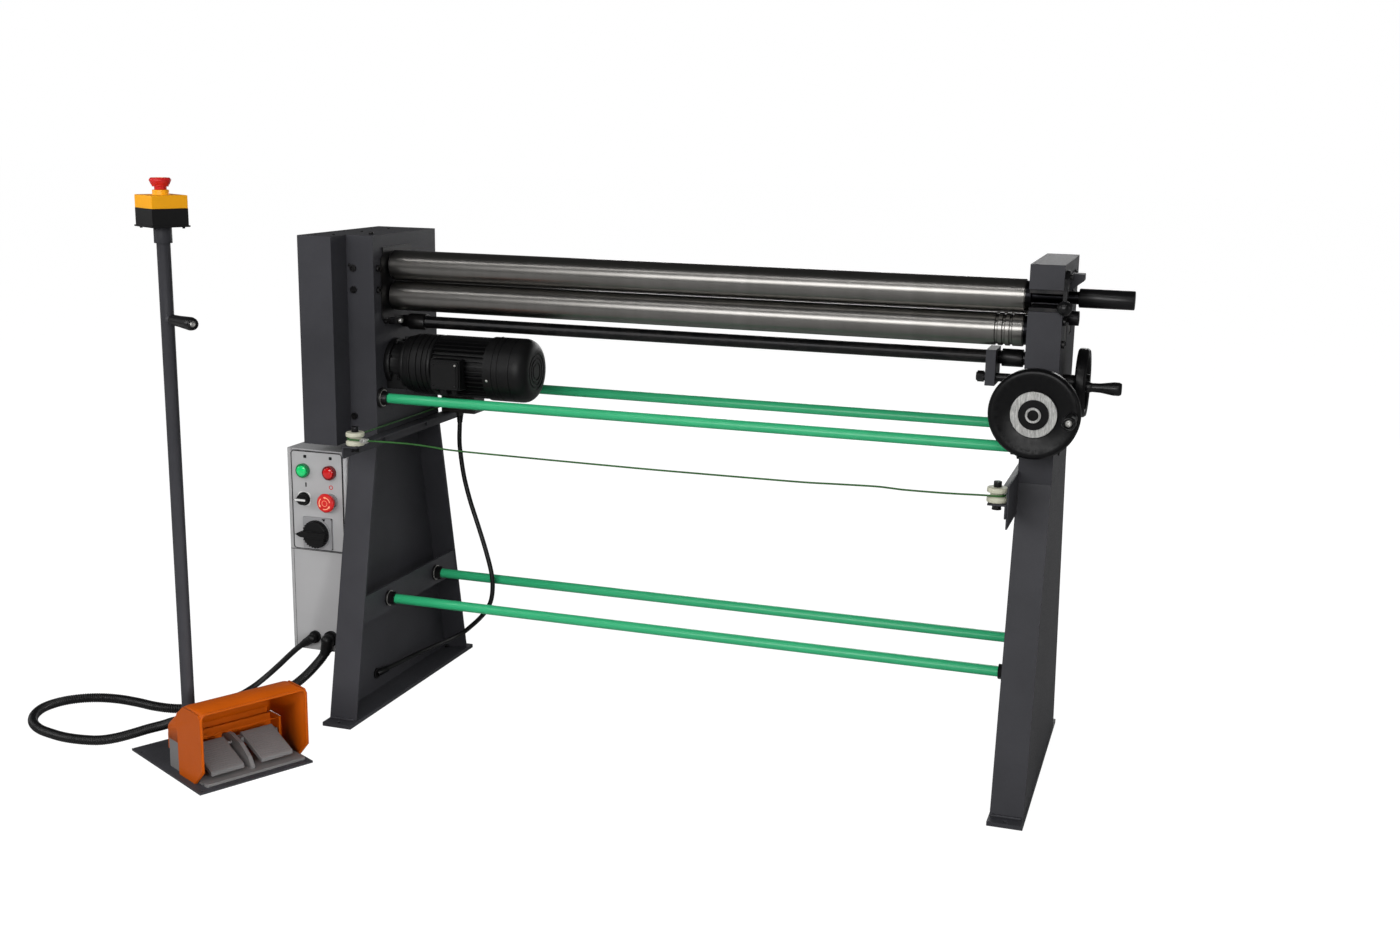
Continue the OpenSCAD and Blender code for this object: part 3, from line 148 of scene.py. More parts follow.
def hoop(bm, outer, inner, low, high, plane=FLOOR):
    """Plate with a hole: outer and inner outlines of as many points."""
    rings = [[bm.verts.new(plane @ (Vector((u, v, w)) * MM)) for u, v in line]
             for line, w in ((outer, low), (outer, high), (inner, high), (inner, low))]
    count = len(outer)
    for ring, after in zip(rings, rings[1:] + rings[:1]):
        for k in range(count):
            bm.faces.new((ring[k], ring[(k + 1) % count], after[(k + 1) % count], after[k]))


def rounded(width, height, radius, across=0.0, up=0.0, steps=5):
    """Outline of a rectangle with rounded corners, about a centre."""
    out = []
    for corner, (s, t) in enumerate(((1, 1), (-1, 1), (-1, -1), (1, -1))):
        for k in range(steps + 1):
            angle = math.pi / 2 * (corner + k / steps)
            out.append((across + s * (width / 2 - radius) + radius * math.cos(angle),
                        up + t * (height / 2 - radius) + radius * math.sin(angle)))
    return out


def circle(radius, across=0.0, up=0.0, sides=40):
    """Outline of a circle."""
    return [(across + radius * math.cos(2 * math.pi * k / sides),
             up + radius * math.sin(2 * math.pi * k / sides)) for k in range(sides)]


def turned(bm, profile, place, axis, sides=48):
    """Solid turned from a profile of (distance along the axis, radius) that starts and ends on the axis."""
    axis = Vector(axis).normalized()
    side = axis.orthogonal().normalized()
    across = axis.cross(side)
    rings = []
    for along, radius in profile:
        centre = (Vector(place) + axis * along) * MM
        count = sides if radius > 0 else 1
        rings.append([bm.verts.new(centre + radius * MM * (math.cos(a) * side + math.sin(a) * across))
                      for a in (2 * math.pi * k / count for k in range(count))])
    for ring, after in zip(rings, rings[1:]):
        for k in range(sides):
            corners = [ring[k % len(ring)], ring[(k + 1) % len(ring)],
                       after[(k + 1) % len(after)], after[k % len(after)]]
            corners = list(dict.fromkeys(corners))
            if len(corners) > 2:
                bm.faces.new(corners)


def cap_screw(bm, place, axis, radius, height):
    """Socket head cap screw: a rounded rim round a recess."""
    turned(bm, [(-1, 0), (-1, radius), (height * 0.75, radius), (height, radius * 0.82),
                (height, radius * 0.55), (height * 0.45, radius * 0.5), (height * 0.45, 0)], place, axis, 20)


def dome_screw(bm, place, axis, radius, height):
    """Round head screw with a shallow dimple for its driver."""
    turned(bm, [(-1, 0), (-1, radius), (height * 0.3, radius), (height * 0.75, radius * 0.75),
                (height, radius * 0.35), (height * 0.7, radius * 0.2), (height * 0.7, 0)], place, axis, 20)


# Cords: their routes are those of the CAD model, in millimetres

HOSE_ROUTE = [(-755, -171, 143), (-758, -171, 125), (-768, -172, 106), (-784, -174, 86),
              (-804, -178, 64), (-828, -186, 42), (-856, -200, 24), (-888, -220, 13), (-922, -246, 10),
              (-956, -278, 10), (-990, -306, 10), (-1030, -325, 10), (-1075, -328, 10),
              (-1122, -322, 10), (-1170, -320, 10), (-1214, -328, 10), (-1250, -348, 10),
              (-1274, -378, 10), (-1282, -416, 10), (-1270, -456, 10), (-1244, -490, 10),
              (-1208, -514, 10), (-1168, -526, 10), (-1130, -532, 10), (-1092, -530, 10),
              (-1056, -525, 12), (-1022, -518, 19), (-988, -510, 30), (-956, -505, 42),
              (-922, -503, 54), (-892, -508, 67), (-866, -520.5, 76), (-844.5, -532, 76)]
CABLE_ROUTE = [(-793, -171, 143), (-806, -171, 134), (-824, -172, 121), (-844, -174, 103),
               (-870, -179, 77), (-893, -190, 54), (-910, -210, 37), (-920, -236, 29), (-925, -252, 27),
               (-928, -268, 23), (-934, -294, 13), (-942, -322, 8), (-950, -350, 8), (-956, -375, 14),
               (-957, -396, 24), (-948, -417, 35), (-931, -431.5, 43), (-909, -443, 44)]
LEAD_ROUTE = [(-610, 165, 587), (-610, 165, 575), (-608.5, 160, 552), (-605, 151, 528),
              (-598, 140, 504), (-581, 122, 453), (-559, 106, 403), (-534, 93, 352), (-513, 84, 304),
              (-497, 78, 258), (-492, 76, 225), (-497, 78, 190), (-512, 82, 162), (-532, 88, 139),
              (-558, 96, 115), (-577, 100, 99), (-594, 98, 88.5), (-607, 90, 81.5), (-624, 78, 74),
              (-638, 62, 68), (-655, 38, 61), (-668, 10, 56), (-676, -18, 53), (-684, -42, 50.5),
              (-695, -61, 45.5)]


def plain_cord(name, node, route, diameter):
    """Round cord along its route, in place of its CAD tube."""
    line = smooth_route(route, 6)
    bm = bmesh.new()
    sweep(bm, line, [diameter / 2] * len(line), 16)
    piece = new_piece(name, bm)
    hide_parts(node)
    return piece


def ribbed_hose(name, node, route, diameter):
    """Corrugated hose: round ribs with narrow roots between them, plain for a stretch at both ends."""
    pitch, depth, crest, plain = 4.6 * MM, 1.3 * MM, 0.3 * MM, 16 * MM
    line = smooth_route(route, 40)
    length = route_length(line)
    fine, walked, step = [line[0]], 0.0, pitch / 6
    for a, b in zip(line, line[1:]):
        gap = (b - a).length
        while walked + gap >= step * len(fine):
            fine.append(a.lerp(b, (step * len(fine) - walked) / gap))
        walked += gap
    fine[-1] = line[-1]
    radii = []
    for i in range(len(fine)):
        along = i * step
        wave = 0.5 - 0.5 * math.cos(2 * math.pi * along / pitch)
        rib = wave ** 0.6 if plain < along < length - plain else 1
        radii.append(diameter / 2 + crest - depth * (1 - rib))
    bm = bmesh.new()
    sweep(bm, fine, radii, 20)
    piece = new_piece(name, bm, smooth=60)
    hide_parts(node)
    return piece


hose = ribbed_hose("ribbed_hose", "pedal_hose", HOSE_ROUTE, 19 * MM)
post_lead = plain_cord("post_lead", "post_cable", CABLE_ROUTE, 12 * MM)
switch_lead = plain_cord("switch_lead", "switch_cable", LEAD_ROUTE, 10 * MM)


def safety_line():
    """Sheathed wire rope from the switch round both pulleys, slack enough to wave a little between them."""
    radius, wrap, side, height = 1.75, 14.05, 640.05, 600.35
    wave = [(-600, height), (-560, 601.5), (-500, 602), (-455, 600), (-420, 597.2), (-370, 596),
            (-300, 595.4), (-200, 594.6), (-100, 594), (0, 593.6), (100, 593.9), (200, 594.3), (290, 595),
            (345, 596.8), (415, 598.8), (445, 598), (470, 597.2), (540, 597.8), (600, 599.9)]
    route = [(-side, 140, height), (-side, 40, height), (-side, -60, height), (-side, -160, height),
             (-side, -235, height)]
    for k in range(9):
        angle = math.pi / 2 * k / 8
        route.append((-626 - wrap * math.cos(angle), -254 - wrap * math.sin(angle), height))
    route += [(x, -268.05, z) for x, z in wave]
    for k in range(8, -1, -1):
        angle = math.pi / 2 * k / 8
        route.append((626 + wrap * math.cos(angle), -254 - wrap * math.sin(angle), height))
    route += [(side, -235, height), (side, -160, height), (side, -60, height), (side, 60, height),
              (side, 180, height)]
    line = smooth_route(route, 5)
    bm = bmesh.new()
    sweep(bm, line, [radius * MM] * len(line), 12)
    piece = new_piece("safety_line", bm)
    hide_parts("safety_rope")
    ends = bmesh.new()
    # Wire clip beside the left pulley: a saddle, its two studs and their nuts
    slab(ends, rounded(15, 9, 3, -597, height), 264, 271.5, FRONT)
    for x in (-601.5, -592.5):
        turned(ends, [(0, 0), (0, 3.4), (3.5, 3.4), (3.5, 1.8), (7, 1.8), (7, 0)],
               (x, -271.5, height), TOWARDS, 6)
    # Eye and thimble on the right beam
    turned(ends, [(0, 0), (0, 4.2), (20, 4.2), (20, 0)], (side, 176, height), AWAY, 16)
    hoop(ends, circle(9, 203, height, 28), circle(5.5, 203, height, 28), side - 2, side + 2, SIDE)
    turned(ends, [(0, 0), (0, 3), (22, 3), (22, 5), (25, 4), (25, 0)], (side, 203, 587), UP, 16)
    clips = new_piece("rope_clips", ends)
    return piece, clips


rope, rope_clips = safety_line()


def cuff(bm, route, radius, length, back=False):
    """Tapered strain relief over the first stretch of a cord, or over its last."""
    line = smooth_route(route, 12)
    if back:
        line.reverse()
    kept = [p for i, p in enumerate(line) if route_length(line[:i + 1]) < length * MM]
    wall, taper, groove = 4.5, 3.6, 0.5
    radii = []
    for i in range(len(kept)):
        share = i / (len(kept) - 1)
        cut = groove if i % 3 == 2 else 0
        radii.append((radius + wall - taper * share - cut) * MM)
    sweep(bm, kept, radii, 20)


cuffs = bmesh.new()
cuff(cuffs, HOSE_ROUTE, 9.5, 34)
cuff(cuffs, CABLE_ROUTE, 6, 32)
cuff(cuffs, LEAD_ROUTE, 5, 26)
cuff(cuffs, CABLE_ROUTE, 6, 24, True)
cuff(cuffs, HOSE_ROUTE, 9.5, 24, True)
strain_reliefs = new_piece("strain_reliefs", cuffs)


# Rolls: turned between centres, with a small chamfer at each end of the body

ROLL_R, ROLL_X, ROLL_CHAMFER = 30, (-640, 632), 1.2
JOURNAL_R, FREE_JOURNAL_R, SPIGOT_R = 15, 11.5, 12
SHOULDER_R, SHOULDER_END = 27, 643


def roll(name, node, axis, left_r, right_r, grooves=(), spigot_end=None, shoulder=True):
    """A roll in place of its CAD solid: its body, its journals, its shoulder and any wire grooves."""
    low, high = ROLL_X
    left_end, right_end = (corner.x / MM for corner in map(Vector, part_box(node)))
    profile = [(left_end, 0)]
    if spigot_end:
        profile += [(left_end, SPIGOT_R), (spigot_end, SPIGOT_R)]
        left_end = spigot_end
    profile += [(left_end, left_r - 1), (left_end + 1, left_r), (low, left_r),
                (low, ROLL_R - ROLL_CHAMFER), (low + ROLL_CHAMFER, ROLL_R)]
    root = ROLL_R - 2.4
    for x in grooves:
        profile += [(x - 0.5, ROLL_R), (x, ROLL_R - 0.5), (x + 0.8, root), (x + 4.2, root),
                    (x + 5, ROLL_R - 0.5), (x + 5.5, ROLL_R)]
    profile += [(high - ROLL_CHAMFER, ROLL_R), (high, ROLL_R - ROLL_CHAMFER)]
    if shoulder:
        profile += [(high, SHOULDER_R), (SHOULDER_END - 1, SHOULDER_R), (SHOULDER_END, SHOULDER_R - 1)]
        high = SHOULDER_END
    profile += [(high, right_r), (right_end - 1, right_r), (right_end, right_r - 1), (right_end, 0)]
    bm = bmesh.new()
    turned(bm, profile, (0,) + axis, RIGHT, 160)
    piece = new_piece(name, bm, node)
    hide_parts(node)
    return piece


top_roll = roll("top_bending_roll", "top_roll", (-54, 924), JOURNAL_R, FREE_JOURNAL_R)
lower_roll = roll("lower_bending_roll", "lower_roll", (-54, 862), JOURNAL_R, JOURNAL_R, (582, 595, 608), -706)
rear_roll = roll("rear_bending_roll", "rear_roll", (22, 872), JOURNAL_R, JOURNAL_R, shoulder=False)


# Pedal unit

def guard_hood():
    """Moulded hood: rounded corners, a rolled lip round its mouth and a proud band on each flank."""
    left, right, wall, corner = -101, 115, 3.0, 10.0
    profile = [(-128, 34), (-128, 147), (-58, 147), (17, 90), (17, 64), (-30, 64), (-30, 4), (-96, 4)]
    bm = bmesh.new()
    sides = [[bm.verts.new((x * MM, y * MM, z * MM)) for y, z in profile] for x in (left, right)]
    for side in sides:
        bm.faces.new(side)
    strips = [bm.faces.new((sides[0][k], sides[0][k + 1], sides[1][k + 1], sides[1][k])) for k in (1, 2, 3)]
    bmesh.ops.recalc_face_normals(bm, faces=bm.faces)
    if strips[0].normal.z < 0:
        bmesh.ops.reverse_faces(bm, faces=bm.faces)
    hems = [edge for edge in bm.edges if len(edge.link_faces) == 2]
    bmesh.ops.bevel(bm, geom=hems, offset=corner * MM, segments=5, affect="EDGES", profile=0.5)
    bmesh.ops.transform(bm, matrix=PEDALS, verts=bm.verts)
    hood = new_piece("guard_hood", bm, smooth=50, normals=False)
    thick = hood.modifiers.new("wall", "SOLIDIFY")
    thick.thickness = wall * MM
    thick.offset = -1
    thick.use_even_offset = True
    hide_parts("pedal_guard")

    trim = bmesh.new()
    lip = 1.6
    cheek = [(left + lip, -96, 6), (left + lip, -127, 35), (left + lip, -127, 90)]
    arc = [(left + lip + corner * (1 - math.cos(a)), -127, 147 - lip - corner * (1 - math.sin(a)))
           for a in (math.pi / 2 * k / 6 for k in range(7))]
    half = cheek + arc
    other = [(left + right - x, y, z) for x, y, z in reversed(half)]
    mouth = [PEDALS @ (Vector(p) * MM) for p in half + other]
    sweep(trim, mouth, [2.3 * MM] * len(mouth), 12)
    # Lower back panel between the cheeks of the base
    slab(trim, rounded(210, 34, 3, 7, 55), -16.6, -13.6, PEDALS @ FRONT)
    # Flat band that stands proud of each flank, from the mouth to the slope's start
    band = [(-128, 35), (-128, 138), (-121, 145), (-62, 145), (-34, 124), (-34, 4), (-96, 4)]
    slab(trim, band, left - 2, left + 1, PEDALS @ SIDE)
    slab(trim, band, right - 1, right + 2, PEDALS @ SIDE)
    # Skirt inside the hood, before the cheeks and back of the base
    for low, high in ((left + 4, left + 7.6), (right - 8.4, right - 3.4)):
        slab(trim, [(-32, 8), (2.2, 8), (2.2, 64), (-32, 64)], low, high, PEDALS @ SIDE)
    slab(trim, [(left + 4, 8), (right - 4, 8), (right - 4, 64), (left + 4, 64)], -2.2, -1, PEDALS @ FRONT)
    slab(trim, [(left + 4, -32), (right - 3.4, -32), (right - 3.4, 14), (right - 8, 14), (right - 8, -31),
                (left + 8, -31), (left + 8, 14), (left + 4, 14)], 62.3, 63.4, PEDALS)
    edging = new_piece("guard_edging", trim)
    return hood, edging


hood, edging = guard_hood()


def pedal_treads():
    """Raised treads on the pedals, each with a fine row of grip ribs across it, and the base's toe strip."""
    bm = bmesh.new()
    slab(bm, rounded(204, 14, 3, 7, -120.5), 4.2, 9.4, PEDALS)
    treads = [new_piece("toe_strip", bm)]
    run, rise = Vector((0, 76, 29)).normalized(), Vector((0, -29, 76)).normalized()
    for body, middle in (("left_pedal", -44), ("right_pedal", 58)):
        plane = PEDALS @ Matrix((
            (1, 0, 0, middle * MM), (0, run.y, rise.y, -109 * MM), (0, run.z, rise.z, 25 * MM), (0, 0, 0, 1)))
        bm = bmesh.new()
        slab(bm, rounded(61, 74, 5, 0, 41), -0.5, 1.0, plane)
        for k in range(12):
            slab(bm, rounded(54, 2.2, 1.0, 0, 9 + 5.6 * k), 0.8, 1.7, plane)
        treads.append(new_piece(body + "_tread", bm, body))
    return treads


treads = pedal_treads()


# Geared motor

MOTOR_AXIS = (0, -54, 724)


def motor():
    """Housing with ring joints and cooling fins, fan cover with bands, and the boxes and bolts on them."""
    axis_y, axis_z = MOTOR_AXIS[1:]
    bm = bmesh.new()
    rings = [(-599, 0), (-599, 57.5), (-598, 58), (-588, 58), (-587, 59), (-587, 61.4), (-586, 62)]
    for x in (-580, -565, -553, -542):
        rings += [(x - 1.6, 62), (x - 1, 60.2), (x + 1, 60.2), (x + 1.6, 62)]
    turned(bm, rings + [(-538, 62), (-535, 60), (-533, 54), (-415, 54), (-415, 0)], MOTOR_AXIS, RIGHT, 64)
    for k in range(36):
        turn = Matrix.Translation(Vector(MOTOR_AXIS) * MM) @ Matrix.Rotation(math.radians(10 * k), 4, "X")
        slab(bm, [(-534, 53), (-415, 53), (-415, 61.4), (-417, 62), (-530, 62), (-534, 59)], -1.1, 1.1,
             turn @ Matrix(((1, 0, 0, 0), (0, 0, 1, 0), (0, 1, 0, 0), (0, 0, 0, 1))))
    housing = new_piece("motor_housing", bm)
    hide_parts("motor_body")

    bm = bmesh.new()
    shell = [(-418, 0), (-418, 62.4), (-417, 64.5)]
    for x in (-397, -385, -360):
        shell += [(x - 1.4, 64.5), (x - 0.8, 63.5), (x + 0.8, 63.5), (x + 1.4, 64.5)]
    end, slot_end, dome_length, dome_height = -327, -328.4, 25, 24
    shell += [(end - dome_length + dome_length * math.sin(a), 64.5 - dome_height + dome_height * math.cos(a))
              for a in (math.pi / 2 * k / 9 for k in range(10))]
    for outer in (37, 28, 19):
        shell += [(end, outer), (slot_end, outer - 1), (slot_end, outer - 4), (end, outer - 5)]
    turned(bm, shell + [(end, 0)], MOTOR_AXIS, RIGHT, 64)
    shroud = new_piece("fan_shroud", bm)
    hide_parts("fan_cover")

    bm = bmesh.new()
    slab(bm, rounded(60, 56, 5, -488, 718), 137.5, 142, FRONT)
    slab(bm, rounded(52, 48, 4, -488, 718), 142, 143.2, FRONT)
    turned(bm, [(0, 0), (0, 9), (5, 9), (5, 7.5), (14, 7.5), (15, 6.5), (15, 0)], (-500, -121, 689), DOWN, 6)
    turned(bm, [(0, 0), (0, 8), (4, 8), (4, 6), (14, 6), (14, 0)], (-476, -121, 689), DOWN, 6)
    # Ring of bolts on the gearbox flange, and its oil plugs
    for k in range(8):
        angle = math.pi / 4 * (k + 0.5)
        turned(bm, [(0, 0), (0, 3.4), (3.4, 3.4), (3.4, 0)],
               (-633, axis_y + 46.6 * math.cos(angle), axis_z + 46.6 * math.sin(angle)), RIGHT, 6)
        turned(bm, [(0, 0), (0, 3.4), (3, 3.4), (3, 0)],
               (-599, axis_y + 51 * math.cos(angle), axis_z + 51 * math.sin(angle)), LEFT, 6)
    turned(bm, [(0, 0), (0, 7), (5, 7), (5, 5), (8, 5), (8, 0)], (-621, -90, 700), TOWARDS, 6)
    turned(bm, [(0, 0), (0, 5), (9, 5), (11, 3.5), (11, 0)], (-616, -54, 767), UP, 12)
    fittings = new_piece("motor_fittings", bm)
    return housing, shroud, fittings


housing, shroud, motor_fittings = motor()


# Fasteners

def bright_screws():
    """Zinc-plated screws and the bright rims of washers that show on the dark frame."""
    bm = bmesh.new()
    dome_screw(bm, (-464, -143, 739), TOWARDS, 2.4, 1.6)
    for angle in (-166, -46, 74):
        way = Vector((0, math.cos(math.radians(angle)), math.sin(math.radians(angle))))
        dome_screw(bm, Vector((-408,) + MOTOR_AXIS[1:]) + way * 64.3, way, 2.8, 1.8)
    cap_screw(bm, (-628, -63, 811.5), RIGHT, 5, 6)
    for side in (-1, 1):
        low, high = (0, 0.9) if side < 0 else (-0.9, 0)
        for y, z, x, rim in ((114, 658, 640, 17.4), (104, 230, 642, 16)):
            for way_y in (-1, 1):
                plane = Matrix.Translation((side * x * MM, way_y * y * MM, z * MM)) @ SIDE
                hoop(bm, circle(rim, sides=32), circle(rim - 1.7, sides=32), low, high, plane)
    return new_piece("bright_screws", bm)


def dark_fasteners():
    """Blackened blocks and screws beyond those of the CAD model."""
    bm = bmesh.new()
    slab(bm, rounded(30, 14, 2, -62, 811.5), -645, -628, SIDE)
    dome_screw(bm, (-699, -134, 927), TOWARDS, 3, 2)
    for x, z in ((-464, 697), (-512, 739), (-512, 697)):
        dome_screw(bm, (x, -143, z), TOWARDS, 2.4, 1.6)
    for y, z in ((-40, 958), (14, 958), (60, 958), (-40, 640), (60, 640)):
        cap_screw(bm, (705, y, z), RIGHT, 6.5, 3)
    for x in (-765, -723):
        for y in (-150, -40, 70):
            dome_screw(bm, (x, y, 987), UP, 3.2, 1.6)
    for z in (620, 730, 840, 950):
        dome_screw(bm, (-781, -150, z), LEFT, 3.6, 2)
        dome_screw(bm, (-781, 90, z), LEFT, 3.6, 2)
    # Rims of the stack of nuts on the pulley bolts
    for x in (-626, 626):
        turned(bm, [(0, 0), (0, 8.4), (2, 8.4), (2, 0)], (x, -254, 574), UP, 24)
    return new_piece("dark_fasteners", bm)


screws, dark_screws = bright_screws(), dark_fasteners()


def bolt_caps():
    """Chromed end screws of the three revolving grips, sunk in their mouths."""
    caps = []
    dome = [(-1, 0), (-1, 6.2), (0.8, 6.2), (2.2, 5), (2.8, 3.2), (1.6, 2.4), (1.6, 0)]
    end = PEDALS @ (Vector((-12, 6.0, 842)) * MM)
    for name, place, axis, body in (
            ("front_grip_screw", (740, -280, 737), TOWARDS, "front_wheel"),
            ("side_grip_screw", (807, -86.5, 770.36), RIGHT, "side_wheel"),
            ("post_handle_screw", end / MM, PEDALS.to_3x3() @ TOWARDS, "root")):
        bm = bmesh.new()
        turned(bm, dome, place, axis, 24)
        caps.append(new_piece(name, bm, body))
    return caps


grip_screws = bolt_caps()


def slot_shade_strips_and_guide_plate():
    """Blackened strips above and below the top roll's open slot, whose dark colour is painted shade inside
    the slot, and the guide plate at the left head.
    """
    bm = bmesh.new()
    # Painted shade: these blackened strips line the slot's top and bottom so that its inside reads dark.
    for low, high in ((904.6, 911.2), (936.6, 943.4)):
        slab(bm, [(-131, low), (-60, low), (-60, high), (-131, high)], 646, 704, SIDE)
    # Guide plate round the rolls' ends, on the inner face of the left head
    slab(bm, [(-106, 820), (-98, 812), (20, 812), (20, 962), (-98, 962), (-98, 946), (-106, 940)],
         -645, -642.6, SIDE)
    return new_piece("slot_shade_strips_and_guide_plate", bm)


slot_shade_and_guide_pieces = slot_shade_strips_and_guide_plate()


def foot_welds():
    """Fillet welds along the front and back of both stands, where they meet their foot plates."""
    bm = bmesh.new()
    steps, ripple = 40, 0.35
    for side in (-1, 1):
        for way in (-1, 1):
            line = [Vector((side * (649 + 52 * k / steps), way * 252.6, 10 + ripple * (k % 2))) * MM
                    for k in range(steps + 1)]
            sweep(bm, line, [(3.0 + ripple * (k % 2)) * MM for k in range(steps + 1)], 10)
    return new_piece("foot_welds", bm)


welds = foot_welds()


# Control panel: it faces the front, its middle at x = -777

PANEL_X, PANEL_FACE, PANEL_TOP, COLUMN = -777, 155, 542, 31
ROW_A, ROW_B, ROW_C = PANEL_TOP - 41, PANEL_TOP - 101, PANEL_TOP - 172
PLATE_BACK = 154.6


def round_hole(radius, across, up):
    """Circle with a point to each point of a rounded rectangle, for a hoop between the two."""
    return [(across + radius * math.cos(a), up + radius * math.sin(a))
            for a in (math.pi / 2 * (c + k / 5) for c in range(4) for k in range(6))]


def panel_details():
    """Seal round the panel, seams of the box, plate behind the selector and the plain marks."""
    middle = PANEL_TOP - 104.5
    seal = bmesh.new()
    hoop(seal, rounded(120, 209, 7, PANEL_X, middle), rounded(117.4, 206.4, 6, PANEL_X, middle),
         PANEL_FACE - 2, PANEL_FACE + 0.7, FRONT)
    for low, high, x0, x1 in ((330.6, 331.6, -845, -711), (116, 331, -838.6, -837.8)):
        slab(seal, [(x0, low), (x1, low), (x1, high), (x0, high)], PANEL_FACE - 1, PANEL_FACE + 0.25, FRONT)
    # Dark marks: a square above each push button, a bar above the selector, a pointer by the main switch
    print_low, print_high = PANEL_FACE - 1, PANEL_FACE + 0.3
    for x in (-804, -744.3):
        slab(seal, rounded(7, 6.4, 1.6, x, 530.6), print_low, print_high, FRONT)
    slab(seal, rounded(3, 9.5, 1, -803.6, 471), print_low, print_high, FRONT)
    slab(seal, [(-766, 402.4), (-757, 402.4), (-760, 396)], 160, 161.4, FRONT)
    gasket = new_piece("panel_seal", seal)

    left, right = PANEL_X - COLUMN, PANEL_X + COLUMN
    plates = bmesh.new()
    # Cover of the main switch's square plate, the rim round its knob and the collar of the emergency stop
    hoop(plates, rounded(67, 67, 4, PANEL_X, ROW_C), round_hole(29, PANEL_X, ROW_C), PLATE_BACK, 161.3, FRONT)
    hoop(plates, circle(31.6, PANEL_X, ROW_C), circle(28.9, PANEL_X, ROW_C), 161, 163.4, FRONT)
    hoop(plates, circle(15.6, right, ROW_B), circle(11.6, right, ROW_B), PLATE_BACK, 158.9, FRONT)
    switch_plate = new_piece("main_switch_plate", plates)
    pale = bmesh.new()
    hoop(pale, rounded(30, 29, 8, left, ROW_B), round_hole(13.2, left, ROW_B), print_low, PANEL_FACE + 1.2,
         FRONT)
    selector_plate = new_piece("selector_plate", pale)

    red = bmesh.new()
    hoop(red, circle(4.6, -744.7, 469.5, 28), circle(3.0, -744.7, 469.5, 28), print_low, print_high, FRONT)
    stop_mark = new_piece("stop_mark", red)

    bm = bmesh.new()
    slab(bm, [(left - 15, ROW_B), (left - 12, ROW_B + 2.2), (left + 11.5, ROW_B + 2.2),
              (left + 11.5, ROW_B - 2.2), (left - 12, ROW_B - 2.2)], 171.6, 172.4, FRONT)
    pointer = new_piece("selector_pointer", bm, "selector")

    skirts = []
    for name, x in (("start_lens_skirt", left), ("stop_lens_skirt", right)):
        bm = bmesh.new()
        hoop(bm, circle(14.9, x, ROW_A), circle(11.5, x, ROW_A), PLATE_BACK, 162.4, FRONT)
        skirts.append(new_piece(name, bm))
    return gasket, switch_plate, selector_plate, stop_mark, pointer, skirts


gasket, switch_plate, selector_plate, stop_mark, pointer, skirts = panel_details()


def turn_arrows(name, plane, face, body):
    """Three curved arrows on an emergency stop's head, which show how it is released."""
    bm = bmesh.new()
    middle = 12.5
    half_widths = [0.9] * 8 + [2.3, 1.3, 0.05]
    for k in range(3):
        start_at = math.radians(120 * k + 12)
        angles = [start_at + math.radians(90) * j / 10 for j in range(11)]
        outer, inner = ([((middle + way * w) * math.cos(a), (middle + way * w) * math.sin(a))
                         for a, w in zip(angles, half_widths)] for way in (1, -1))
        slab(bm, outer + inner[::-1], face - 0.8, face + 0.25, plane)
    hoop(bm, circle(6.2), circle(5.4), face - 0.8, face + 0.2, plane)
    return new_piece(name, bm, body)


arrows = [
    turn_arrows("panel_stop_arrows", Matrix.Translation(((PANEL_X + COLUMN) * MM, 0, ROW_B * MM)) @ FRONT,
                180, "panel_stop"),
    turn_arrows("post_stop_arrows", PEDALS @ Matrix.Translation((-0.012, 0.107, 0)), 1102, "post_stop")]


def switch_flutes():
    """Grip flutes round the main switch's knob, with a gap on the left for its pointer."""
    bm = bmesh.new()
    count, radius, half_gap = 28, 27.9, 0.42
    for k in range(count):
        angle = 2 * math.pi * k / count
        if abs(angle - math.pi) > half_gap:
            x, z = PANEL_X + radius * math.cos(angle), ROW_C + radius * math.sin(angle)
            turned(bm, [(0, 0), (0, 1.5), (9, 1.4), (10, 0.8), (10, 0)], (x, -164, z), TOWARDS, 8)
    return new_piece("main_switch_flutes", bm, "main_switch")


flutes = switch_flutes()


def lens_caps():
    """Clear domed lenses of the two push buttons."""
    lenses = []
    for name, x, body in (("start_lens", -COLUMN, "start_button"), ("stop_lens", COLUMN, "stop_button")):
        bm = bmesh.new()
        turned(bm, [(0, 0), (0, 10.6), (0.8, 10.2), (1.6, 8), (2.1, 5), (2.3, 0)],
               (PANEL_X + x, -164.8, ROW_A), TOWARDS, 32)
        lenses.append(new_piece(name, bm, body))
    return lenses


start_lens, stop_lens = lens_caps()


# Materials: colours are sRGB, patterns are in millimetres of the real surface

def colour(code):
    """Linear colour of an sRGB hex value such as #3f3f44."""
    parts = [int(code[i:i + 2], 16) / 255 for i in (1, 3, 5)]
    return tuple(v / 12.92 if v <= 0.04045 else ((v + 0.055) / 1.055) ** 2.4 for v in parts) + (1,)


def add(tree, kind, inputs=None, **settings):
    """One shader node with its settings, and values or links for its inputs."""
    node = tree.nodes.new("ShaderNode" + kind)
    for name, value in settings.items():
        setattr(node, name, value)
    for name, value in (inputs or {}).items():
        if isinstance(value, bpy.types.NodeSocket):
            tree.links.new(value, node.inputs[name])
        else:
            node.inputs[name].default_value = value
    return node


def start(name, roughness, metallic=0.0, **sockets):
    """Empty material: its tree, its shader and its coordinates in the row frame, in metres."""
    mat = bpy.data.materials.new(name)
    mat.use_nodes = True
    tree = mat.node_tree
    tree.nodes.clear()
    shader = add(tree, "BsdfPrincipled", {"Roughness": roughness, "Metallic": metallic})
    for socket, value in sockets.items():
        shader.inputs[socket.replace("_", " ")].default_value = value
    out = add(tree, "OutputMaterial")
    tree.links.new(shader.outputs[0], out.inputs["Surface"])
    place = add(tree, "TexCoord").outputs["Object"]
    return mat, tree, shader, place


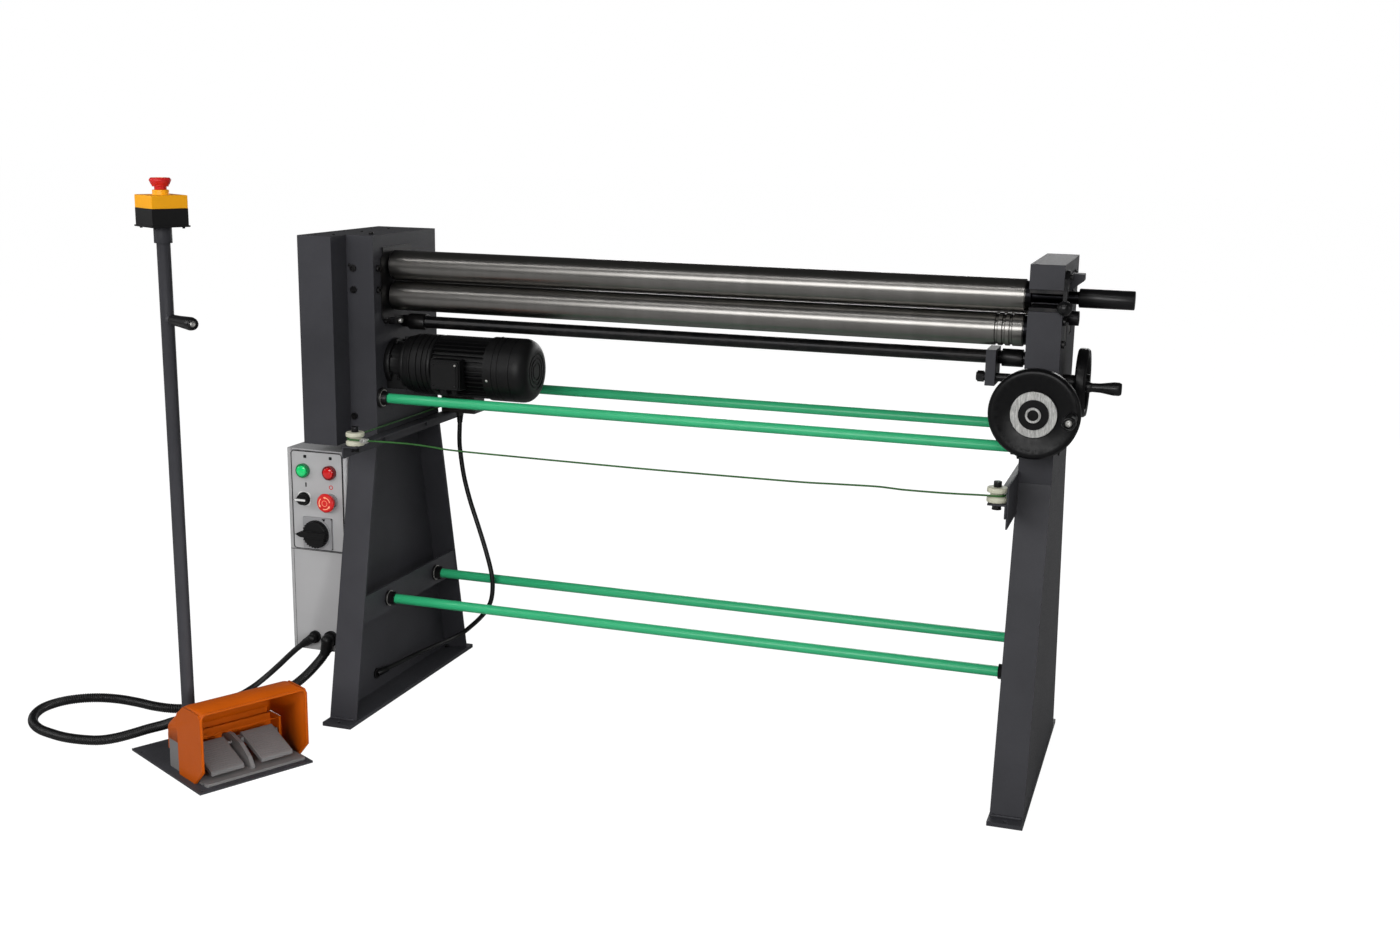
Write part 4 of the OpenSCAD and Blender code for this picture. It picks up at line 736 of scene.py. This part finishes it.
def patches(tree, place, size_mm, detail=3.0, rough=0.55):
    """Soft irregular patches about size_mm across, from 0 to 1."""
    return add(tree, "TexNoise", {"Vector": place, "Scale": 1000 / size_mm / 2, "Detail": detail,
                                  "Roughness": rough}).outputs["Fac"]


def between(tree, factor, low, high, start_at=0.3, end_at=0.7):
    """Colour that runs from low to high as factor goes from start_at to end_at."""
    ramp = add(tree, "ValToRGB", {"Fac": factor})
    ramp.color_ramp.elements[0].position = start_at
    ramp.color_ramp.elements[0].color = low
    ramp.color_ramp.elements[1].position = end_at
    ramp.color_ramp.elements[1].color = high
    return ramp.outputs["Color"]


def span_of(tree, factor, low, high):
    """Number that runs from low to high as factor goes from 0.3 to 0.7."""
    return add(tree, "MapRange", {"Value": factor, "From Min": 0.3, "From Max": 0.7,
                                  "To Min": low, "To Max": high}).outputs["Result"]


def bump(tree, shader, height, depth_mm, strength=1.0):
    """Relief of depth_mm between height 0 and 1."""
    relief = add(tree, "Bump", {"Height": height, "Distance": depth_mm * MM, "Strength": strength})
    tree.links.new(relief.outputs["Normal"], shader.inputs["Normal"])


def shade(code, factor):
    """A colour made darker or lighter by a factor."""
    return tuple(min(1, v * factor) for v in colour(code)[:3]) + (1,)


def sprayed_enamel(name, code, roughness, grain_mm=1.4, depth_mm=0.05, spread=0.13, **sockets):
    """Enamel sprayed on steel: a fine orange peel, with faint clouds where the coat is thicker."""
    mat, tree, shader, place = start(name, roughness, **sockets)
    clouds = patches(tree, place, 70, 5)
    tree.links.new(between(tree, clouds, shade(code, 1 - spread), shade(code, 1 + spread)),
                   shader.inputs["Base Color"])
    peel = patches(tree, place, grain_mm, 2)
    tree.links.new(span_of(tree, peel, roughness - 0.05, roughness + 0.07), shader.inputs["Roughness"])
    bump(tree, shader, peel, depth_mm)
    return mat


def ground_steel(name, journal=False):
    """Steel ground between centres, evenly smooth: faint grey bands round the roll and clouds of oil."""
    mat, tree, shader, place = start(name, 0.28, 1.0)
    band_mm, stain_mm, black_from_mm = 16, 70, 632.5
    along = add(tree, "Mapping", {"Vector": place, "Scale": (1, 0.02, 0.02)}).outputs["Vector"]
    bands = patches(tree, along, band_mm, 5)
    stain = patches(tree, place, stain_mm, 4)
    mixed = add(tree, "Math", {0: bands, 1: stain}, operation="ADD").outputs[0]
    half = add(tree, "Math", {0: mixed, 1: 0.5}, operation="MULTIPLY").outputs[0]
    steel = between(tree, half, colour("#757370"), colour("#858380"))
    if journal:
        # The shoulder and journal beyond the body are blackened and carry no ground finish
        x = add(tree, "SeparateXYZ", {"Vector": place}).outputs["X"]
        beyond = add(tree, "Math", {0: x, 1: black_from_mm * MM}, operation="GREATER_THAN").outputs[0]
        steel = add(tree, "MixRGB", {"Fac": beyond, "Color1": steel, "Color2": colour("#151517")}).outputs[0]
    tree.links.new(steel, shader.inputs["Base Color"])
    return mat


def turned_steel():
    """Machined mild steel, oiled and greyed, as on gears, blocks and bushes."""
    mat, tree, shader, place = start("turned_steel", 0.36, 1.0)
    smear = patches(tree, place, 14, 5)
    tree.links.new(between(tree, smear, colour("#4a4744"), colour("#77736e")), shader.inputs["Base Color"])
    tree.links.new(span_of(tree, smear, 0.30, 0.46), shader.inputs["Roughness"])
    bump(tree, shader, patches(tree, place, 0.8, 2), 0.01)
    return mat


def blackened_steel():
    """Steel blackened in hot oil: near black, with brown rubbed through where it was handled."""
    mat, tree, shader, place = start("blackened_steel", 0.38, 0.6)
    rub = patches(tree, place, 9, 6)
    tree.links.new(between(tree, rub, colour("#131315"), colour("#2a2827"), 0.4, 0.8),
                   shader.inputs["Base Color"])
    tree.links.new(span_of(tree, rub, 0.30, 0.45), shader.inputs["Roughness"])
    bump(tree, shader, patches(tree, place, 1.2, 2), 0.02)
    return mat


def zinc_steel():
    """Bright zinc-plated screw steel, with faint spangle and a trace of blue in it."""
    mat, tree, shader, place = start("zinc_plated_steel", 0.42, 0.8)
    spot = patches(tree, place, 3, 3)
    tree.links.new(between(tree, spot, colour("#a3a29e"), colour("#d2d1cd")), shader.inputs["Base Color"])
    return mat


def brushed_aluminium():
    """Turned and brushed aluminium of the dial: fine scratches, drawn coarse enough to show."""
    mat, tree, shader, place = start("brushed_aluminium", 0.42, 1.0)
    scratch_mm = 1.1
    drawn = add(tree, "Mapping", {"Vector": place, "Rotation": (0, 0.7, 0), "Scale": (1, 1, 0.12)})
    scratch = patches(tree, drawn.outputs["Vector"], scratch_mm, 5, 0.85)
    tree.links.new(between(tree, scratch, colour("#858583"), colour("#cfcfcc"), 0.38, 0.62),
                   shader.inputs["Base Color"])
    tree.links.new(span_of(tree, scratch, 0.3, 0.5), shader.inputs["Roughness"])
    bump(tree, shader, scratch, 0.03)
    return mat


def moulded(name, code, roughness, grain_mm=0.9, depth_mm=0.03, spread=0.08, **sockets):
    """Moulded plastic: an even colour with a fine spark-eroded grain and faint flow clouds."""
    mat, tree, shader, place = start(name, roughness, **sockets)
    tree.links.new(between(tree, patches(tree, place, 35, 3), shade(code, 1 - spread),
                           shade(code, 1 + spread)), shader.inputs["Base Color"])
    grain = patches(tree, place, grain_mm, 2)
    tree.links.new(span_of(tree, grain, roughness - 0.04, roughness + 0.05), shader.inputs["Roughness"])
    bump(tree, shader, grain, depth_mm)
    return mat


SLATE = sprayed_enamel("slate_enamel", "#37373b", 0.48, Specular_IOR_Level=0.2)
BAR_GREEN = sprayed_enamel("green_bar_enamel", "#33b47a", 0.34, 1.0, 0.03, 0.06)
BOX_GREY = sprayed_enamel("textured_box_enamel", "#a2a2a3", 0.55, 1.2, 0.09, 0.04)
PANEL_GREY = sprayed_enamel("satin_panel_enamel", "#a8a8a9", 0.45, 0.8, 0.02, 0.03)
CASTING = sprayed_enamel("black_casting_enamel", "#0b0b0c", 0.44, 1.8, 0.08, 0.2, Specular_IOR_Level=0.24)
WHEEL_BLACK = sprayed_enamel("gloss_black_enamel", "#0b0b0c", 0.34, 6.0, 0.002, 0.08, Specular_IOR_Level=0.16)
ROLL = ground_steel("ground_steel")
SHOULDERED = ground_steel("ground_steel_blackened_shoulder", journal=True)
TURNED = turned_steel()
BLACKENED = blackened_steel()
ZINC = zinc_steel()
DIAL = brushed_aluminium()
PHENOLIC = moulded("black_phenolic", "#0e0e0f", 0.32, 5.0, 0.002, Specular_IOR_Level=0.3)
BLACK_NYLON = moulded("black_nylon", "#0a0a0b", 0.42, Specular_IOR_Level=0.25)
SWITCH_BROWN = moulded("dark_switch_nylon", "#1d1815", 0.5)
PULLEY_NYLON = moulded("turned_natural_nylon", "#c3c2ae", 0.42, 1.2, 0.03)
ROPE_SHEATH = moulded("green_rope_sheath", "#2a5a26", 0.45, 1.0, 0.04, 0.2, Specular_IOR_Level=0.3)
RUBBER = moulded("black_cable_rubber", "#0c0c0d", 0.5, 0.8, 0.03, Specular_IOR_Level=0.35)
HOSE = moulded("black_polyamide_hose", "#0b0b0c", 0.36, 0.8, 0.01, Specular_IOR_Level=0.35)
GREEN_LENS = moulded("green_acrylic", "#08d070", 0.16, 2.0, 0.005, Coat_Weight=0.6)
RED_LENS = moulded("red_acrylic", "#c60f10", 0.16, 2.0, 0.005, Coat_Weight=0.6)
DARK_GREEN = moulded("dark_green_acrylic", "#0b7040", 0.22, 2.0, 0.005)
DARK_RED = moulded("dark_red_acrylic", "#681014", 0.22, 2.0, 0.005)
STOP_RED = moulded("red_abs", "#cc1a1a", 0.34, 1.2, 0.01)
ARROW = moulded("pale_orange_print", "#ffb48c", 0.5)
MARK_WHITE = moulded("white_print", "#cfcfce", 0.5)
SWITCH_GREY = moulded("pale_grey_abs", "#8b8b8d", 0.42)
PEDAL_GREY = moulded("grey_pedal_polymer", "#6e6c6c", 0.58, 1.1, 0.12)
ORANGE = moulded("orange_guard_polymer", "#b04d00", 0.46, 1.2, 0.02, 0.05, Specular_IOR_Level=0.16)
YELLOW = moulded("yellow_abs", "#f4a702", 0.42, 1.2, 0.015, 0.04, Specular_IOR_Level=0.3)


def paint(material, slot, *things):
    """Gives nodes, by name, or pieces one finish; the slot is not used."""
    for thing in things:
        if isinstance(thing, str):
            thing = NODES[thing]
        if thing.data.materials:
            for i in range(len(thing.data.materials)):
                thing.data.materials[i] = material
        else:
            thing.data.materials.append(material)


paint(SLATE, "frame_paint", "left_stand", "right_stand", "left_head", "right_head", "gear_cover",
      "rope_beams", "pedal_plate", "control_post", "shaft_bracket", welds)
paint(BAR_GREEN, "bar_paint", "lower_tie_bars", "upper_tie_bars")
paint(BOX_GREY, "box_paint", "control_box")
paint(PANEL_GREY, "panel_paint", "control_panel")
paint(CASTING, "motor_casting", "gearbox", "terminal_box", housing, shroud, motor_fittings)
paint(WHEEL_BLACK, "black_iron", "front_wheel", "side_wheel")
paint(SHOULDERED, "roll_steel", top_roll, lower_roll)
paint(ROLL, "roll_steel", rear_roll)
paint(TURNED, "bare_steel", "top_roll_bush", "top_gear", "lower_gear", "lower_roll_blocks",
      "rear_roll_blocks", "idler_gear", "motor_pinion")
# The slot's strips in this list are blackened as painted shade inside the top roll's slot.
paint(BLACKENED, "black_steel", "tie_bar_nuts", "frame_bolts", "side_spindle", "cross_shaft",
      dark_screws, slot_shade_and_guide_pieces)
paint(PHENOLIC, "black_plastic", "latch_lever", "top_roll_grip", "front_wheel_grip", "side_wheel_grip",
      "post_handle")
paint(ZINC, "bare_steel", screws, *grip_screws, rope_clips)
paint(DIAL, "dial_metal", "dial_ring")
paint(BLACK_NYLON, "black_plastic", "panel_fittings", "cable_glands", "post_box", "selector_knob",
      "main_switch_knob", strain_reliefs, gasket, flutes)
paint(SWITCH_BROWN, "switch_plastic", "rope_switch")
paint(PULLEY_NYLON, "pulley_nylon", "left_pulley", "right_pulley")
paint(ROPE_SHEATH, "rope_cover", rope)
paint(RUBBER, "cable_rubber", post_lead, switch_lead)
paint(HOSE, "hose_plastic", hose)
paint(GREEN_LENS, "green_lens", "start_button", start_lens)
paint(RED_LENS, "red_lens", "stop_button", stop_lens, stop_mark)
paint(DARK_GREEN, "green_lens", skirts[0])
paint(DARK_RED, "red_lens", skirts[1])
paint(STOP_RED, "stop_red", "panel_stop", "post_stop")
paint(ARROW, "stop_red", *arrows)
paint(MARK_WHITE, "panel_paint", pointer, selector_plate)
paint(SWITCH_GREY, "panel_paint", switch_plate)
paint(PEDAL_GREY, "pedal_grey", "pedal_base", "left_pedal", "right_pedal", *treads)
paint(ORANGE, "guard_orange", hood, edging)
paint(YELLOW, "box_yellow", "post_lid")


def ease(name, width_mm, segments=2):
    """Rounds the sharp edges of a CAD node, whose flat faces are first joined into one each."""
    node = NODES[name]
    weld = node.modifiers.new("weld", "WELD")
    weld.merge_threshold = 0.01 * MM
    flat = node.modifiers.new("flat", "DECIMATE")
    flat.decimate_type = "DISSOLVE"
    flat.angle_limit = math.radians(0.5)
    edge = node.modifiers.new("edge", "BEVEL")
    edge.width = width_mm * MM
    edge.segments = segments
    edge.limit_method = "ANGLE"
    edge.angle_limit = math.radians(32)
    edge.harden_normals = True


for edge_mm, node_names in (
        (2.5, ("post_box", "post_lid")),
        (2.2, ("left_stand", "right_stand", "gear_cover")),
        (2.0, ("control_box", "left_pedal", "right_pedal")),
        (1.6, ("left_head", "right_head", "front_wheel", "front_wheel_grip", "side_wheel_grip",
               "top_roll_grip", "post_handle")),
        (1.5, ("pedal_base", "terminal_box", "rope_switch")),
        (1.2, ("gearbox", "side_wheel", "panel_stop", "post_stop")),
        (1.0, ("shaft_bracket",)),
        (0.9, ("main_switch_knob",)),
        (0.8, ("rope_beams", "pedal_plate", "lower_tie_bars", "upper_tie_bars", "tie_bar_nuts",
               "latch_lever")),
        (0.7, ("control_panel", "left_pulley", "right_pulley", "selector_knob")),
        (0.6, ("panel_fittings", "cable_glands", "cross_shaft", "control_post")),
        (0.5, ("frame_bolts", "start_button", "stop_button", "side_spindle")),
        (0.4, ("dial_ring",))):
    for node_name in node_names:
        ease(node_name, edge_mm)


# Studio

def studio():
    """Pale floor, white surround, a large soft key in front, weaker fills and a long narrow strip above."""
    glow_strength, glow_share = 1.37, 0.7
    floor_paint = bpy.data.materials.new("matt_white_floor")
    floor_paint.use_nodes = True
    tree = floor_paint.node_tree
    tree.nodes.clear()
    place = add(tree, "TexCoord").outputs["Object"]
    grain = patches(tree, place, 40, 3)
    base = between(tree, grain, colour("#b4b4b4"), colour("#bebebe"))
    matt = add(tree, "BsdfDiffuse", {"Color": base}).outputs[0]
    # The camera sees mostly a glow in place of the floor, which runs into the surround without an edge
    glow = add(tree, "Emission", {"Color": (1, 1, 1, 1), "Strength": glow_strength}).outputs[0]
    rays = add(tree, "LightPath").outputs
    share = add(tree, "Math", {0: rays["Is Camera Ray"], 1: glow_share}, operation="MULTIPLY").outputs[0]
    mixed = add(tree, "MixShader", {0: share, 1: matt, 2: glow}).outputs[0]
    out = add(tree, "OutputMaterial")
    tree.links.new(mixed, out.inputs["Surface"])
    bm = bmesh.new()
    bmesh.ops.create_grid(bm, x_segments=1, y_segments=1, size=30)
    mesh = bpy.data.meshes.new("floor")
    bm.to_mesh(mesh)
    bm.free()
    mesh.materials.append(floor_paint)
    floor = bpy.data.objects.new("floor", mesh)
    floor.location = (0, 0, -0.0005)
    bpy.context.collection.objects.link(floor)

    world = bpy.data.worlds.new("studio")
    bpy.context.scene.world = world
    world.use_nodes = True
    tree = world.node_tree
    tree.nodes.clear()
    way = add(tree, "SeparateXYZ", {"Vector": add(tree, "TexCoord").outputs["Generated"]}).outputs
    height = way["Z"]
    rays = add(tree, "LightPath").outputs
    backdrop = between(tree, height, (1, 1, 1, 1), (0.3, 0.3, 0.3, 1), 0.35, 0.8)
    # Mirrors see the white backdrop behind the machine, and the dark room before and above it
    behind = between(tree, add(tree, "Math", {0: way["Y"], 1: 0.5}, operation="ADD").outputs[0],
                     (0.12, 0.12, 0.12, 1), (0.34, 0.34, 0.34, 1), 0.3, 0.8)
    mirrored = add(tree, "MixRGB", {
        "Fac": between(tree, height, (0, 0, 0, 1), (1, 1, 1, 1), 0.02, 0.35),
        "Color1": behind, "Color2": (0.05, 0.05, 0.05, 1)}).outputs[0]
    ambient = add(tree, "MixRGB", {"Fac": rays["Is Glossy Ray"], "Color1": (0.27, 0.27, 0.27, 1),
                                   "Color2": mirrored}).outputs[0]
    clear = add(tree, "Math", {0: rays["Is Camera Ray"], 1: rays["Is Transmission Ray"]},
                operation="MAXIMUM").outputs[0]
    seen = add(tree, "MixRGB", {"Fac": clear, "Color1": ambient, "Color2": backdrop}).outputs[0]
    back = add(tree, "Background", {"Color": seen, "Strength": 1.0}).outputs[0]
    out = add(tree, "OutputWorld")
    tree.links.new(back, out.inputs["Surface"])

    # The strip draws the rolls' highlights; the low fill is a narrow beam into the guard's mouth
    lamps = (
        ("key", (-0.1, -4.2, 1.9), (0, 0, 0.5), 106, 3.4, 1.4, 180),
        ("left_fill", (-3.6, -1.6, 1.8), (-0.4, 0, 0.6), 26, 1.6, 1.6, 180),
        ("right_fill", (3.6, -0.4, 1.4), (0.4, 0, 0.6), 8, 1.6, 1.6, 180),
        ("back_light", (-0.2, 3.8, 1.3), (0, 0, 0.55), 44, 3.2, 1.2, 180),
        ("strip", (-1.2, -2.0, 2.95), (-1.2, -0.05, 0.9), 27, 6.4, 0.22, 180),
        ("low_fill", (1.5, -1.75, 0.75), (-0.8, -0.48, 0.08), 1.0, 0.4, 0.4, 30))
    for name, place, aim, watts, width, depth, spread in lamps:
        light = bpy.data.lights.new(name, "AREA")
        light.shape = "RECTANGLE"
        light.size = width
        light.size_y = depth
        light.energy = watts
        light.spread = math.radians(spread)
        lamp = bpy.data.objects.new(name, light)
        lamp.location = place
        lamp.rotation_euler = (Vector(aim) - Vector(place)).to_track_quat("-Z", "Y").to_euler()
        bpy.context.collection.objects.link(lamp)
    bpy.context.scene.view_settings.view_transform = "Standard"


studio()
